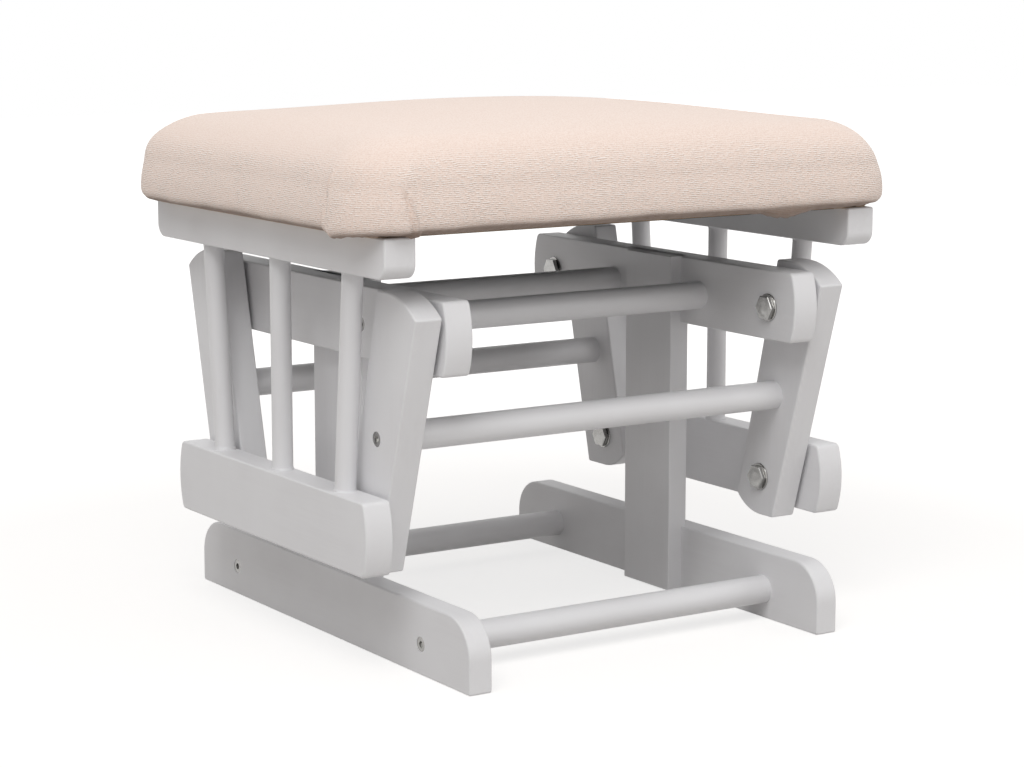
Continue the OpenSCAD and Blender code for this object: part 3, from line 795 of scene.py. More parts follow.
@dataclass
class Woodwork:
    """Sizes and makers that all painted boards and rods share."""

    ease: float = 1.5 * MM
    corner: float = 1.8 * MM
    bow: float = 5 * MM
    bow_corner: float = 4 * MM
    screw_head: float = 10.7 * MM
    screw_recess: float = 3.8 * MM

    def plank(self, node: str, body: str, outline: Points, grain: Axis = Axis.Y,
              screws: str = "") -> None:
        """A board between the sides of its CAD node, with holes over its screws.

        Args:
            node: The CAD node.
            body: Its body.
            outline: The side view in Y and Z.
            grain: The direction of its grain.
            screws: The CAD node of the screws in its outer face, if any.
        """
        low, high = node_box(node)
        piece = mesh_object(node + "_board", carried(outline, low[0], high[0], self.ease))
        face, outward = (high[0], 1) if low[0] > 0 else (low[0], -1)
        span = np.sort((face - outward * self.screw_recess, face + outward * self.ease))
        hole = np.column_stack((span, np.full(2, self.screw_head / 2)))
        for place in self.screw_places(screws) if screws else ():
            drill(piece, turned(hole, place))
        fit(piece, body, Paint(grain=grain), node)

    def screw_places(self, node: str) -> list[Pair]:
        """Places of a side's one or two screws in Y and Z, from their node's box.

        Args:
            node: The screws' CAD node.

        Returns:
            The places.
        """
        low, high = node_box(node)
        radius = min(high[2] - low[2], high[1] - low[1]) / 2
        z = (low[2] + high[2]) / 2
        if high[1] - low[1] < 3 * radius:
            return [((low[1] + high[1]) / 2, z)]
        return [(low[1] + radius, z), (high[1] - radius, z)]

    def bowed_outline(self, node: str) -> Points:
        """Side view of a rail whose ends bow outwards as arcs of one radius.

        Args:
            node: The rail's CAD node.

        Returns:
            The outline, anticlockwise.
        """
        low, high = node_box(node)
        half_h = (high[2] - low[2]) / 2
        mid_z = (low[2] + high[2]) / 2
        radius = (half_h**2 + self.bow**2) / (2 * self.bow)
        turn = math.degrees(math.asin(half_h / radius))
        back = arc((high[1] - radius, mid_z), radius, -turn, turn, 12)
        front = arc((low[1] + radius, mid_z), radius, 180 - turn, 180 + turn, 12)
        radii = np.zeros(len(back) * 2)
        radii[[0, len(back) - 1, len(back), -1]] = self.bow_corner
        return self.spread_fillets(np.vstack((back, front)), radii)

    def spread_fillets(self, corners: Points, radii: Points) -> Points:
        """Drops the points within reach of a rounded corner, then rounds the corners.

        Args:
            corners: The outline.
            radii: A radius per point; zero off the corners.

        Returns:
            The rounded outline.
        """
        gaps = np.linalg.norm(corners[:, None] - corners[radii > 0][None], axis=2)
        keep = (radii > 0) | (gaps.min(axis=1) > radii.max() * 1.05)
        return filleted(corners[keep], radii[keep])

    def rounded_outline(self, node: str, top: float, bottom: float) -> Points:
        """Side view of a straight rail.

        Args:
            node: The rail's CAD node.
            top: The upper corners' radius.
            bottom: The lower corners' radius.

        Returns:
            The outline, anticlockwise.
        """
        low, high = node_box(node)
        corners = np.array([(low[1], low[2]), (high[1], low[2]), (high[1], high[2]), (low[1], high[2])])
        return filleted(corners, np.array([bottom, bottom, top, top]), 12)

    def rod(self, node: str, body: str) -> None:
        """A chamfered cross rod along X in the box of its CAD node.

        Args:
            node: The CAD node.
            body: Its body.
        """
        low, high = node_box(node)
        radius = (high[2] - low[2]) / 2
        chamfer = self.ease / 4
        along = (low[0], low[0] + chamfer, high[0] - chamfer, high[0])
        profile = np.column_stack((along, (radius - chamfer, radius, radius, radius - chamfer)))
        shell = turned(profile, ((low[1] + high[1]) / 2, (low[2] + high[2]) / 2), segments=64)
        fit(mesh_object(node + "_dowel", shell), body, Paint(grain=Axis.X), node)


@dataclass
class FixedFrame(Woodwork):
    """Base rails, posts and upper rails with their cross rods: the part that stands still."""

    base_corner: float = 28 * MM
    post_bevel: float = 13.5 * MM
    post_corners: tuple[float, ...] = (0.9 * MM, 0.45 * MM, 0.45 * MM, 1.2 * MM)
    post_ease: float = 0.45 * MM
    body: str = "root"

    def build(self) -> None:
        """Builds every wooden piece of the fixed frame."""
        for side in Side:
            name = side.name.lower()
            base, upper = f"base_rail_{name}", f"upper_rail_{name}"
            outline = self.rounded_outline(base, self.base_corner, self.corner)
            self.plank(base, self.body, outline, screws="base_rod_screws")
            self.plank(upper, self.body, self.bowed_outline(upper), screws="upper_rod_screws")
            self.post(f"post_{name}", side)
        for end in End:
            self.rod(f"base_rod_{end.name.lower()}", self.body)
            self.rod(f"upper_rod_{end.name.lower()}", self.body)

    def post(self, node: str, side: Side) -> None:
        """A flat post with a bevel along its inner rear edge, carried upwards.

        Args:
            node: The CAD node.
            side: The side it stands on.
        """
        low, high = node_box(node)
        inner, outer = sorted((abs(low[0]), abs(high[0])))
        back = high[1] - self.post_bevel
        plan = np.array([(inner, low[1]), (outer, low[1]), (outer, high[1]), (inner, back)])
        plan = filleted(plan, np.array(self.post_corners), 5)
        if side is Side.LEFT:
            plan = plan[::-1] * (-1, 1)
        shell = carried(plan, low[2], high[2], self.post_ease, Axis.Z)
        fit(mesh_object(node + "_board", shell), self.body, Paint(grain=Axis.Z), node)


@dataclass
class Arms(Woodwork):
    """One pair of swinging arms and the rod between them."""

    end: End = End.FRONT
    crest: float = 2 * MM
    upper_outboard: float = 26 * MM
    upper_inboard: float = 28.5 * MM
    lower_outboard: float = 24 * MM
    lower_inboard: float = 23.5 * MM
    over: float = 32 * MM
    under: float = 29.5 * MM
    top_radius: float = 58 * MM
    top_drop: float = 15 * MM
    bottom_radius: float = 37 * MM
    bottom_drop: float = 12.5 * MM

    def build(self) -> None:
        """Builds both arms and their rod."""
        end = self.end.name.lower()
        body = f"{end}_arms"
        for side in Side:
            node = f"arm_{end}_{side.name.lower()}"
            self.plank(node, body, self.outline(), Axis.Z, f"arm_rod_screws_{end}")
        self.rod(f"arm_rod_{end}", body)

    def edge(self, z: float, at_upper: float, at_lower: float) -> float:
        """Distance of a straight edge from the middle of the base at height z."""
        share = (z - LOWER_PIVOT[1]) / (UPPER_PIVOT[1] - LOWER_PIVOT[1])
        return at_lower + (at_upper - at_lower) * share

    def nose(self, radius: float, drop: float) -> Points:
        """Arc from the long edge, at the origin, to the flat of an arm's end, as (run, rise)."""
        points = arc((0, 0), radius, 90 + math.degrees(math.acos(1 - drop / radius)), 90, 10)
        return points - points[0]

    def outline(self) -> Points:
        """Side view of an arm in Y and Z: straight tapering edges and one curved corner at each end.

        Returns:
            The outline, anticlockwise.
        """
        top = UPPER_PIVOT[1] + self.over
        bottom = LOWER_PIVOT[1] - self.under
        outer = (UPPER_PIVOT[0] + self.upper_outboard, LOWER_PIVOT[0] + self.lower_outboard)
        inner = (UPPER_PIVOT[0] - self.upper_inboard, LOWER_PIVOT[0] - self.lower_inboard)
        high = self.nose(self.top_radius, self.top_drop) * (-1, 1)
        high += (self.edge(top - self.top_drop, *outer), top - self.top_drop)
        low = self.nose(self.bottom_radius, self.bottom_drop) * (1, -1)
        low += (self.edge(bottom + self.bottom_drop, *inner), bottom + self.bottom_drop)
        crest, sole = (self.edge(top, *inner), top), (self.edge(bottom, *outer), bottom)
        corners = np.vstack((high, crest, low, sole))
        radii = np.zeros(len(corners))
        radii[[0, len(high), len(high) + 1, -1]] = self.crest
        corners = corners * (self.end.value, 1)
        if self.end is End.FRONT:
            corners, radii = corners[::-1], radii[::-1]
        return self.spread_fillets(corners, radii)


REAR_ARMS = Arms(
    end=End.REAR, over=36.5 * MM, under=25 * MM, upper_outboard=21.7 * MM, upper_inboard=32.5 * MM,
    lower_outboard=27.3 * MM, lower_inboard=26 * MM,
)


@dataclass
class SeatSides(Woodwork):
    """Carriage rails, spindles and seat rails: the two sides that carry the cushion."""

    body: str = "carriage"
    seat_corner: float = 10 * MM
    spindle_foot: float = 91.5 * MM
    spindle_head: float = 105 * MM
    spindle_rise: float = 153 * MM
    foot_socket: float = 10 * MM
    head_socket: float = 12 * MM
    fillet: float = 0.9 * MM

    def build(self) -> None:
        """Builds both sides."""
        for side in Side:
            name = side.name.lower()
            lower, upper = f"carriage_rail_{name}", f"seat_rail_{name}"
            self.plank(lower, self.body, self.bowed_outline(lower))
            self.plank(upper, self.body, self.rounded_outline(upper, self.corner, self.seat_corner))
            for place, share in (("front", -1), ("middle", 0), ("rear", 1)):
                self.spindle(f"spindle_{name}_{place}", share)

    def spindle(self, node: str, share: int) -> None:
        """A spindle on its leaning axis, with a ring of paint where it enters each rail.

        Args:
            node: The CAD node.
            share: -1, 0 or 1 from front to rear, which gives its lean.
        """
        low, high = node_box(node)
        radius = (high[0] - low[0]) / 2
        lean = share * math.atan2(self.spindle_head - self.spindle_foot, self.spindle_rise)
        length = (high[2] - low[2] - 2 * radius * math.sin(abs(lean))) / math.cos(lean)
        steps = np.array([0, 1, 2.5]) * self.fillet
        foot = np.concatenate(([0], self.foot_socket + steps))
        head = length - np.concatenate(([0], self.head_socket + steps))
        swell = np.array([1, 1, 0.25, 0]) * self.fillet
        along = np.concatenate((foot, head[::-1])) - length / 2
        profile = np.column_stack((along, radius + np.concatenate((swell, swell[::-1]))))
        shell = turned(profile, (0, 0), Axis.Z)
        c, s = math.cos(lean), math.sin(lean)
        shell.points = shell.points @ np.array([(1, 0, 0), (0, c, -s), (0, s, c)]) + (low + high) / 2
        fit(mesh_object(node + "_turned", shell), self.body, Paint(grain=Axis.Z), node)


# Pivots


@dataclass
class Hardware:
    """Pivot bolts with hex heads, and their washers."""

    head_height: float = 3.5 * MM
    head_flats: float = 16.5 * MM
    dish: float = 0.2 * MM
    chamfer: float = 0.3 * MM
    washer_thickness: float = 1.25 * MM
    washer_diameter: float = 20.5 * MM
    washer_soft: float = 0.35 * MM
    shank: float = 10 * MM
    shank_chamfer: float = 0.8 * MM

    def build(self) -> None:
        """Builds the pivot bolts and washers."""
        self.pivots("upper", "root", UPPER_PIVOT, tuple(End), "")
        for end in End:
            suffix = "_" + end.name.lower()
            self.pivots("lower", end.name.lower() + "_arms", LOWER_PIVOT, (end,), suffix)

    def pivots(self, level: str, body: str, place: Pair, ends: tuple[End, ...], suffix: str) -> None:
        """Bolts and washers of one group of pivots.

        Args:
            level: Upper or lower.
            body: The body that carries them.
            place: Their distance from the middle and their height.
            ends: The ends that have one on each side.
            suffix: The end of the pieces' names.
        """
        bolts = ("upper_pivot_bolts" if level == "upper" else "lower_bolts") + suffix
        washers = bolts.replace("bolts", "washers")
        face = node_box(washers)[1][0]
        tip = node_box(bolts)[1][0]
        centres = [(end.value * place[0], place[1]) for end in ends]
        for node, kind, shells in (
            (bolts, "bolts", [self.bolt(face, tip, c) for c in centres]),
            (washers, "washers", [self.washer(face, c) for c in centres]),
        ):
            shell = together([s for half in shells for s in (half, half.mirrored())])
            piece = mesh_object(f"{level}_pivot_{kind}{suffix}_set", shell)
            fit(piece, body, Zinc(), node, 35)

    def bolt(self, face: float, tip: float, centre: Pair) -> Shell:
        """A hex bolt along X: a flat, chamfered head at the inside and a plain shank.

        Args:
            face: The face under the washer.
            tip: The end of the shank.
            centre: The axis in Y and Z.

        Returns:
            The bolt on the right.
        """
        seat = face - self.washer_thickness
        top = seat - self.head_height
        flat = self.head_flats / 2
        rows = np.array([
            (top + self.dish, 0.3 * flat), (top + self.dish, 0.7 * flat), (top, 0.76 * flat),
            (top, 0.95 * flat), (top + 2 * self.dish, flat), (seat - self.chamfer, flat),
            (seat, flat - self.chamfer), (seat, self.shank / 2),
            (tip - self.shank_chamfer, self.shank / 2), (tip, self.shank / 2 - self.shank_chamfer),
        ])
        return turned(rows, centre, segments=60, flats=6, flat_rows=(3, 4, 5, 6))

    def washer(self, face: float, centre: Pair) -> Shell:
        """A flat washer along X with softened rims, closed round the shank.

        Args:
            face: The face that it lies on.
            centre: The axis in Y and Z.

        Returns:
            The washer on the right.
        """
        radius = self.washer_diameter / 2
        bore = self.shank / 2 + self.chamfer
        inner = face - self.washer_thickness
        soft = self.washer_soft
        rows = [(inner, bore), (inner, radius - soft), (inner + soft, radius), (face - soft, radius),
                (face, radius - soft), (face, bore)]
        return turned(np.array(rows), centre, segments=60)


# Seat


def bump(value: Points, middle: float, width: float) -> Points:
    """A bell of height 1 about the middle: exp(-((value - middle) / width) ** 2)."""
    return np.exp(-(((value - middle) / width) ** 2))


def smooth_step(value: Points, low: float, high: float) -> Points:
    """A smooth climb from 0 at low to 1 at high: t * t * (3 - 2 * t)."""
    t = np.clip((value - low) / (high - low), 0, 1)
    return t * t * (3 - 2 * t)


def read_field(places: Points, values: Points, wanted: Points, cell: float) -> Points:
    """Averages scattered values over grid cells, spreads them and reads them elsewhere.

    Args:
        places: Where the values are known.
        values: The values, a row per place.
        wanted: Where they are wanted.
        cell: The size of a cell.

    Returns:
        The wanted values, each a trilinear blend of eight cells.
    """
    origin = np.minimum(places.min(axis=0), wanted.min(axis=0)) - 2.5 * cell
    top = np.maximum(places.max(axis=0), wanted.max(axis=0)) + 2.5 * cell
    field = np.zeros((*(np.ceil((top - origin) / cell).astype(int) + 1), 4))
    at = np.round((places - origin) / cell).astype(int)
    np.add.at(field, tuple(at.T), np.column_stack((values, np.ones(len(values)))))
    for axis in (0, 1, 2, 0, 1, 2):
        field = 0.25 * np.roll(field, 1, axis) + 0.5 * field + 0.25 * np.roll(field, -1, axis)
    where = (wanted - origin) / cell
    base = np.floor(where).astype(int)
    total = np.zeros((len(wanted), 4))
    for corner in np.ndindex(2, 2, 2):
        weight = np.where(np.array(corner) == 1, where - base, 1 - where + base).prod(axis=1)
        total += weight[:, None] * field[tuple((base + corner).T)]
    return total[:, :3] / np.maximum(total[:, 3:], 1e-9)


@dataclass(frozen=True)
class Crease:
    """A pulled crease in the cover's side: a line with a groove and a ridge beside it.

    In millimetres, the line passes place at the given height and moves by run over each fall.
    Groove and ridge are a push, its distance past the line and its width, each fading in over
    its own height below the top.
    """

    place: float
    height: float
    run: float
    fall: float
    top: float
    groove: Triple
    ridge: Triple
    groove_fade: float = 8.0
    ridge_fade: float = 8.0

    def past(self, s: Points, z: Points) -> Points:
        """How far a place lies past the line: s - place - run * (height - z) / fall."""
        return s - self.place - self.run * (self.height - z) / self.fall

    def push(self, s: Points, z: Points) -> Points:
        """The outward push of groove and ridge: bells across the line that fade in below the top.

        Args:
            s: The place round the plan.
            z: The height.

        Returns:
            The push in millimetres.
        """
        total = 0.0
        for (depth, at, width), fade in ((self.groove, self.groove_fade), (self.ridge, self.ridge_fade)):
            total = total + depth * bump(self.past(s, z), at, width) * smooth_step(self.top - z, 0, fade)
        return total


@dataclass
class Cushion:
    """The padded seat: a crowned box of foam in a loose cover, folded at its front left corner.

    Places round the cushion are told by their distance along its plan from the middle of the
    front left corner, positive along the front and negative along the left side.
    """

    node: str = "seat_cushion"
    body: str = "carriage"
    corner: float = 42 * MM
    side_height: float = 64.5 * MM
    shoulder_width: float = 32 * MM
    shoulder_height: float = 30 * MM
    shoulder_turn: float = 80.0
    lean: float = 3 * MM
    draw: float = 3 * MM
    foot: float = 6 * MM
    board_corner: float = 22 * MM
    board_gap: float = 0.3 * MM
    hem_lift: float = 3 * MM
    front_hem_lift: float = 3.6 * MM
    fine: float = 0.9 * MM
    coarse: float = 3.0 * MM
    near: float = 70 * MM
    ceiling_rows: int = 7
    wall_rows: int = 5
    strip_rows: int = 3
    foot_rows: int = 9
    side_rows: int = 16
    shoulder_rows: int = 20
    crown_rows: int = 46
    lift_blur: int = 30
    pin_height: float = 5 * MM
    pin_fade: float = 12 * MM
    settle: float = 1.3 * MM
    voxel: float = 5 * MM
    cell: float = 11 * MM
    cap: float = 1.4 * MM
    damping: float = 0.1
    frames: int = 20
    left_crease: Crease = Crease(
        place=-32.8, height=40.7, run=-9.0, fall=35.4, top=46,
        groove=(-1.2, -1.8, 1.7), ridge=(1.7, 1.0, 1.3),
    )
    front_crease: Crease = Crease(
        place=25.4, height=28.7, run=7.3, fall=24.6, top=32,
        groove=(-3.4, -2.2, 2.2), ridge=(2.6, 0.8, 1.2), ridge_fade=6.0,
    )

    def build(self) -> None:
        """Builds, swells, folds and dresses the cushion."""
        low, high = node_box(self.node)
        self.centre = (low + high) / 2
        self.bottom = low[2]
        self.half = (high - low)[:2] / 2
        self.rim_row = self.ceiling_rows + self.wall_rows
        self.hem_row = self.rim_row + self.strip_rows
        self.lay_out()
        crown = high[2] - low[2] - self.side_height
        points, height = self.form(crown - self.settle)
        points = points + self.swelling(points)
        points = self.folded(self.slumped(points, height), height)
        shell = Shell(points.reshape(-1, 3), grid_faces(*height.shape))
        piece = mesh_object("seat_cushion_cover", shell)
        # mask of the painted shade: full on the underside, fading out just above the hem's turn
        hem = 1 - smooth_step((height - height[self.hem_row]) / MM, 0.4, 3.6)
        hem[:self.hem_row] = 1.0
        piece.data.attributes.new("hem", "FLOAT", "POINT").data.foreach_set("value", hem.ravel())
        fit(piece, self.body, Chenille(), self.node, 0)

    def lay_out(self) -> None:
        """Lays places round the plan: an inner-box seat, an outward normal and a distance.

        The plan is seat * (half - radius) + radius * normal, for every inset and radius. Places stand
        closer together near the front left corner.
        """
        run = 2 * (self.half - self.corner)
        dense = np.arange(0, self.near, self.fine)
        front, left = (np.concatenate((dense, np.arange(self.near, r, self.coarse))) / r for r in run)
        back, right = (np.arange(0, r, self.coarse) / r for r in run)
        bend, fine_bend = (np.arange(0, math.pi / 2 * self.corner, step) / self.corner
                           for step in (self.coarse, self.fine))
        seats, angles = [], []
        for share, start, step, turn, arc_angles in (
            (front, (-1, -1), (2, 0), -90, bend), (right, (1, -1), (0, 2), 0, bend),
            (back, (1, 1), (-2, 0), 90, bend), (1 - left[::-1], (-1, 1), (0, -2), 180, fine_bend),
        ):
            share = share[share > 1e-6]
            end = np.array([start]) + step
            seats += [start + share[:, None] * step, np.repeat(end, len(arc_angles), axis=0)]
            angles += [np.full(len(share), math.radians(turn)), math.radians(turn) + arc_angles]
        self.seats = np.vstack(seats)
        angle = np.concatenate(angles)
        self.normals = np.column_stack((np.cos(angle), np.sin(angle)))
        plan = self.ring(0.0, self.corner)
        gaps = np.linalg.norm(np.roll(plan, -1, axis=0) - plan, axis=1)
        around = np.concatenate(([0], np.cumsum(gaps)))[:-1] + math.pi / 4 * self.corner
        self.around = (around + gaps.sum() / 2) % gaps.sum() - gaps.sum() / 2

    def ring(self, inset: float, radius: float, draw: float = 0.0) -> Points:
        """The plan drawn in by an inset, about the cushion's centre.

        Args:
            inset: The distance that every side is drawn in.
            radius: The corners' radius.
            draw: The extra distance halfway between the corners.

        Returns:
            The plan, anticlockwise.
        """
        mid = np.cos(np.abs(self.seats).min(axis=1) * math.pi / 2)[:, None] ** 1.5
        points = self.seats * (self.half - inset - radius) + radius * self.normals
        return points - draw * mid * self.normals

    def form(self, crown: float) -> tuple[Points, Points]:
        """The cushion before it swells, as rings from its underside round its sides to its crown.

        The board's hollow comes first. A strip climbs from its rim to the hem, a quarter round turns
        up into the side, the side leans in to an elliptical shoulder, and the crown rises as
        (1 - u * u) * (1 - v * v) over the shares u and v of the rim.

        Args:
            crown: Height of the crown above the shoulder.

        Returns:
            The points as rings by places by 3, and each point's height above the underside.
        """
        board_low, board_high = node_box("seat_board")
        half_board = (board_high - board_low)[:2] / 2 + self.board_gap
        hollow = self.seats * (half_board - self.board_corner) + self.board_corner * self.normals
        ceiling = board_high[2] + self.board_gap - self.bottom
        level = np.ones(len(hollow))
        rise = np.where(self.normals[:, 1] < -0.2, self.front_hem_lift, self.hem_lift)
        blur = self.lift_blur
        window = np.full(2 * blur + 1, 1 / (2 * blur + 1))
        rise = np.convolve(np.concatenate((rise[-blur:], rise, rise[:blur])), window, "valid")
        rings = [(share * hollow, ceiling * level) for share in np.linspace(0.02, 0.98, self.ceiling_rows)]
        rings += [(hollow, z * level) for z in np.linspace(ceiling, 0.0, self.wall_rows)]
        edge = self.ring(self.foot, self.corner - self.foot, self.draw)
        for share in np.linspace(0, 1, self.strip_rows + 2)[1:-1]:
            rings.append((hollow + share * (edge - hollow), rise * share * 0.8))
        for a in np.radians(np.linspace(0, 90, self.foot_rows)):
            inset = self.foot * (1 - math.sin(a))
            lift = rise * (1 - 0.2 * inset / self.foot) + self.foot * (1 - math.cos(a))
            rings.append((self.ring(inset, self.corner - inset, self.draw), lift))
        base = self.side_height - self.shoulder_height
        foot_top = self.foot + rise
        for share in np.linspace(0, 1, self.side_rows)[1:]:
            lean = self.lean * smooth_step(share, 0, 1)
            ring = self.ring(lean, self.corner - lean / 2, self.draw)
            rings.append((ring, foot_top + (base - foot_top) * share))
        turn = math.radians(self.shoulder_turn)
        for a in np.linspace(0, turn, self.shoulder_rows)[1:]:
            share = (1 - math.cos(a)) / (1 - math.cos(turn))
            inset = self.lean + (self.shoulder_width - self.lean) * share
            ring = self.ring(inset, self.corner - inset / 2, self.draw)
            rings.append((ring, (base + self.shoulder_height * math.sin(a)) * level))
        rim, rim_height = rings[-1]
        climb = self.side_height + crown - rim_height[0]
        for share in np.linspace(1, 0.01, self.crown_rows)[1:]:
            shares = share * rim / np.abs(rim).max(axis=0)
            rings.append((share * rim, rim_height + climb * (1 - shares**2).prod(axis=1)))
        plans, heights = (np.array(part) for part in zip(*rings))
        return np.dstack((plans + self.centre[:2], heights + self.bottom)), heights

    def swelling(self, points: Points) -> Points:
        """Blows an evenly meshed copy of the cover up and reads its movement at every point.

        The underside is pinned. Movement inwards is damped and the rest is capped, and read_field
        carries it to the points.

        Args:
            points: The points, as rings by places by 3.

        Returns:
            The movement of each point.
        """
        copy = mesh_object("cover_copy", Shell(points.reshape(-1, 3), grid_faces(*points.shape[:2])))
        grid = copy.modifiers.new("even", "REMESH")
        grid.mode = "VOXEL"
        grid.voxel_size = self.voxel
        keep_evaluated(copy)
        rest = vertex_places(copy)
        above = rest[:, 2] - self.bottom - self.pin_height
        hold = np.round(np.clip(1 - above / self.pin_fade, 0, 1), 1)
        pins = copy.vertex_groups.new(name="pins")
        for weight in np.unique(hold[hold > 0]):
            pins.add(np.nonzero(hold == weight)[0].tolist(), float(weight), "REPLACE")
        cloth = copy.modifiers.new("swell", "CLOTH")
        cloth.settings.effector_weights.gravity = 0
        for key, value in (
            ("use_pressure", True), ("uniform_pressure_force", 4.0), ("vertex_group_mass", "pins"),
            ("quality", 6), ("mass", 0.3), ("tension_stiffness", 25), ("compression_stiffness", 25),
            ("bending_stiffness", 2.0),
        ):
            setattr(cloth.settings, key, value)
        cloth.point_cache.frame_start = 1
        cloth.point_cache.frame_end = self.frames
        for number in range(1, self.frames + 1):
            bpy.context.scene.frame_set(number)
        moved = vertex_places(copy.evaluated_get(bpy.context.evaluated_depsgraph_get())) - rest
        bpy.context.scene.frame_set(1)
        bpy.data.objects.remove(copy)
        inward = (moved[:, :2] * (rest[:, :2] - self.centre[:2])).sum(axis=1) < 0
        moved[inward, :2] *= self.damping
        moved[moved[:, 2] < 0, 2] *= self.damping
        distance = np.linalg.norm(moved, axis=1, keepdims=True)
        moved *= self.cap * np.tanh(distance / self.cap) / np.maximum(distance, 1e-9)
        LOG.info("the cushion swelled by up to %.1f mm", np.linalg.norm(moved, axis=1).max() / MM)
        return read_field(rest, moved, points.reshape(-1, 3), self.cell).reshape(points.shape)

    def slumped(self, points: Points, height: Points) -> Points:
        """Rounds the sides out and lets the foam sink at both ends, more at the right.

        Args:
            points: The points, as rings by places by 3.
            height: Their height above the underside before swelling.

        Returns:
            The slumped points.
        """
        x = (points[..., 0] - self.centre[0]) / MM
        z = height / MM
        moved = points.copy()
        moved[..., :2] += MM * (1.7 * bump(z, 25, 15))[..., None] * self.normals[None]
        moved[..., 0] -= MM * (2.2 + 4.4 * smooth_step(z, 22, 50)) * smooth_step(x, 120, 225)
        moved[..., 2] -= MM * 2.4 * smooth_step(x, 50, 205) * smooth_step(z, 30, 64)
        moved[..., 2] -= MM * 3.0 * smooth_step(-x, 165, 222) * smooth_step(z, 40, 64)
        return moved

    def folded(self, points: Points, height: Points) -> Points:
        """Lays the loose cover's folds; all sizes are in millimetres.

        The panel between two pulled creases stands out as a soft step. Slow waves run all round, and
        quick ones gather the hem, which droops in a lump at the front right and in a tab under the
        front crease.

        Args:
            points: The points, as rings by places by 3.
            height: Their height above the underside before swelling.

        Returns:
            The folded points.
        """
        row = np.arange(len(height))[:, None]
        outside = row >= self.hem_row
        z = height / MM
        s = self.around[None] / MM
        left, front = self.left_crease.past(s, z), -self.front_crease.past(s, z)
        slow = sum(size * np.sin(s / length + phase)
                   for size, length, phase in ((1.0, 23.0, 0.6), (0.6, 10.3, 2.0), (0.4, 5.9, 4.0)))
        quick = sum(size * np.sin(s / length + sway * np.sin(s / beat))
                    for size, length, sway, beat in ((1.0, 1.6, 1.4, 9.0), (0.8, 2.7, 2.0, 14.0)))
        push = self.left_crease.push(s, z) + self.front_crease.push(s, z)
        panel = smooth_step(left, -0.8, 1.4) * smooth_step(front, -0.8, 1.4)
        push += 1.1 * panel * smooth_step(48 - z, 0, 30)
        push += 1.1 * bump(s + 0.25 * (z - 36), 26.0, 3.4) * bump(z, 37, 6)
        push += 2.2 * bump(s, 35.5, 1.5) * bump(z, 1.5, 2.6)
        push += 0.18 * slow * smooth_step(60 - z, 0, 50) + 0.10 * quick * smooth_step(9 - z, 0, 6)
        sag = smooth_step(left, -1.5, 7.0) * smooth_step(front, -1.5, 1.5)
        sag = sag * (0.8 + 5.0 * np.exp(-np.clip(s + 36, 0, None) / 18))
        drop = (sag + 0.3 * slow) * smooth_step(26 - z, 0, 24) * outside
        hem = 5.2 * bump(s, 342, 19) + 2.6 * bump(s, 36.0, 1.7) + 0.35 * quick
        drop += hem * smooth_step(4.5 - z, 0, 2) * (row >= self.rim_row)
        moved = points.copy()
        moved[..., :2] += MM * (push * outside)[..., None] * self.normals[None]
        moved[..., 2] -= MM * drop
        return moved


# Setting


@dataclass(frozen=True)
class Viewpoint:
    """The photograph's camera, with its focal length in pixels of a frame 1024 pixels wide."""

    place: Triple = (-1.04869, -1.63988, 0.48741)
    turn_deg: float = 32.71
    dip_deg: float = 9.24
    focal_px: float = 2616.3
    frame_px: float = 1024.0
    sensor_mm: float = 36.0

    def build(self) -> None:
        """Puts the camera in the scene."""
        data = bpy.data.cameras.new("photo_camera")
        data.sensor_width = self.sensor_mm
        data.lens = self.focal_px * self.sensor_mm / self.frame_px
        data.clip_end = 50.0
        camera = bpy.data.objects.new("photo_camera", data)
        camera.location = self.place
        camera.rotation_euler = (math.radians(90 - self.dip_deg), 0, math.radians(-self.turn_deg))
        bpy.context.scene.collection.objects.link(camera)
        bpy.context.scene.camera = camera


@dataclass(frozen=True)
class Lamp:
    """A square soft box that faces the ottoman."""

    name: str
    place: Triple
    size: float
    power: float
    target: Triple = (0, 0, 0.22)

    def build(self) -> None:
        """Hangs the lamp."""
        data = bpy.data.lights.new(self.name, "AREA")
        data.shape = "SQUARE"
        data.size = self.size
        data.energy = self.power
        lamp = bpy.data.objects.new(self.name, data)
        lamp.location = self.place
        aim = np.array(self.target) - np.array(self.place)
        tilt = math.acos(-aim[2] / np.linalg.norm(aim))
        lamp.rotation_euler = (tilt, 0, math.atan2(aim[1], aim[0]) - math.pi / 2)
        bpy.context.scene.collection.objects.link(lamp)


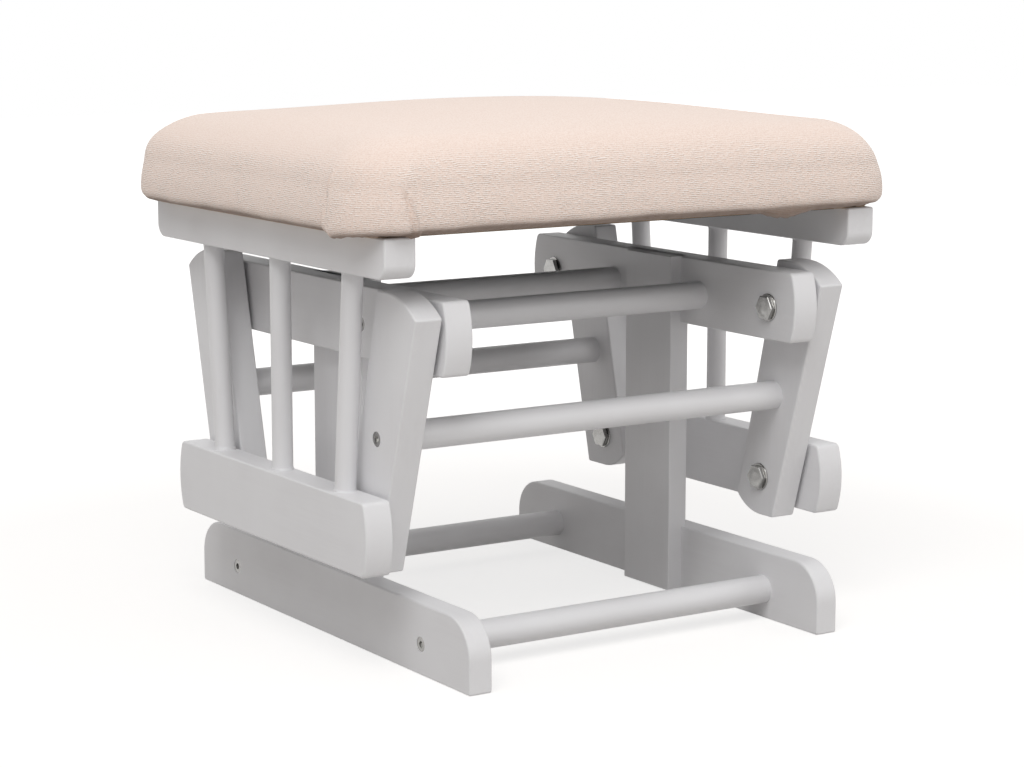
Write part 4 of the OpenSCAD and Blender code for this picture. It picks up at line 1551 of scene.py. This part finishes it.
@dataclass(frozen=True)
class Studio:
    """Pale floor, white surroundings and soft boxes."""

    floor_size: float = 12.0
    floor_tint: Triple = (1.0, 0.97, 0.94)
    floor_pale: float = 0.56
    floor_seen: float = 0.40
    floor_glow: float = 0.70
    glow_from: float = 0.5
    glow_to: float = 1.5
    ambient: float = 0.40
    ambient_colour: Colour = (1.0, 0.975, 0.955, 1.0)
    lamps: tuple[Lamp, ...] = (
        Lamp("overhead", (0.0, 0.0, 2.6), 2.0, 4.2),
        Lamp("front", (0.3, -3.0, 1.3), 2.0, 7.5),
        Lamp("front_left", (-1.4, -1.4, 2.4), 1.6, 36.5),
        Lamp("side_left", (-1.8, -0.2, 2.4), 1.6, 3.5),
        Lamp("front_right", (2.2, -2.4, 1.3), 2.0, 13.0),
        Lamp("side_right", (1.8, -0.2, 2.4), 1.6, 4.5),
    )

    def build(self) -> None:
        """Builds the floor, the world and the lamps."""
        self.floor()
        self.surroundings()
        for lamp in self.lamps:
            lamp.build()

    def seen(self, nt: NodeTree) -> Socket:
        """1 for camera rays, reflections and what glass shows, and 0 for light.

        Args:
            nt: The helper of the material or the world.

        Returns:
            The value's socket.
        """
        rays = nt.add("LightPath").outputs
        clear = nt.maths("MAXIMUM", rays["Is Glossy Ray"], rays["Is Transmission Ray"])
        return nt.maths("MAXIMUM", rays["Is Camera Ray"], clear)

    def floor(self) -> None:
        """A pale floor that looks white away from the object's shadow."""
        corners = np.array([(-1, -1, 0), (1, -1, 0), (1, 1, 0), (-1, 1, 0)])
        floor = mesh_object("studio_floor", Shell(corners * self.floor_size / 2, [(0, 1, 2, 3)]))
        material, nt, shader = blank_material("studio_floor")
        seen = self.seen(nt)
        pale, dim = ((*(v * t for t in self.floor_tint), 1.0) for v in (self.floor_pale, self.floor_seen))
        away = nt.add("VectorMath", {"operation": "LENGTH"}, (nt.add("TexCoord").outputs["Object"],))
        glow = nt.remap(away.outputs["Value"], self.glow_from, self.glow_to, self.floor_glow, 1.0)
        for name, value in (
            ("Base Color", nt.mix(seen, pale, dim)), ("Roughness", 0.9), ("Specular IOR Level", 0.0),
            ("Emission Color", (1, 1, 1, 1)), ("Emission Strength", nt.times(seen, glow)),
        ):
            nt.feed(shader, name, value)
        floor.data.materials.append(material)

    def surroundings(self) -> None:
        """A world that is white where it is seen, and dimmer as a light."""
        world = bpy.data.worlds.new("studio")
        bpy.context.scene.world = world
        world.use_nodes = True
        nt = NodeTree(world.node_tree)
        background = world.node_tree.nodes["Background"]
        seen = self.seen(nt)
        nt.feed(background, "Color", nt.mix(seen, self.ambient_colour, (1.0, 1.0, 1.0, 1.0)))
        nt.feed(background, "Strength", nt.remap(seen, 0.0, 1.0, self.ambient, 1.0))


def dress_nodes(frame: dict) -> None:
    """Gives each CAD node the finish of its slot.
    """
    finishes = {finish.slot: finish for finish in NODE_FINISHES}
    for row in frame["record"]["subparts"]:
        dress(frame["nodes"][row["node"]], finishes[row["material_slot"]])
        LOG.info("%s is dressed as %s", row["node"], row["material_slot"])


def corners(box: object) -> list[list[float]]:
    """A box's two corners as plain lists of numbers."""
    return [[float(v) for v in corner] for corner in box]


def main() -> None:
    """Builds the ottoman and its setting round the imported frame."""
    logging.basicConfig(level=logging.INFO, format="%(name)s: %(message)s")
    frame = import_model()
    bpy.context.scene.view_settings.view_transform = "Standard"
    dress_nodes(frame)
    for part in (Viewpoint(), Studio(), FixedFrame(), Arms(), REAR_ARMS, SeatSides(), Hardware(),
                 Cushion()):
        part.build()


if __name__ == "__main__":
    main()
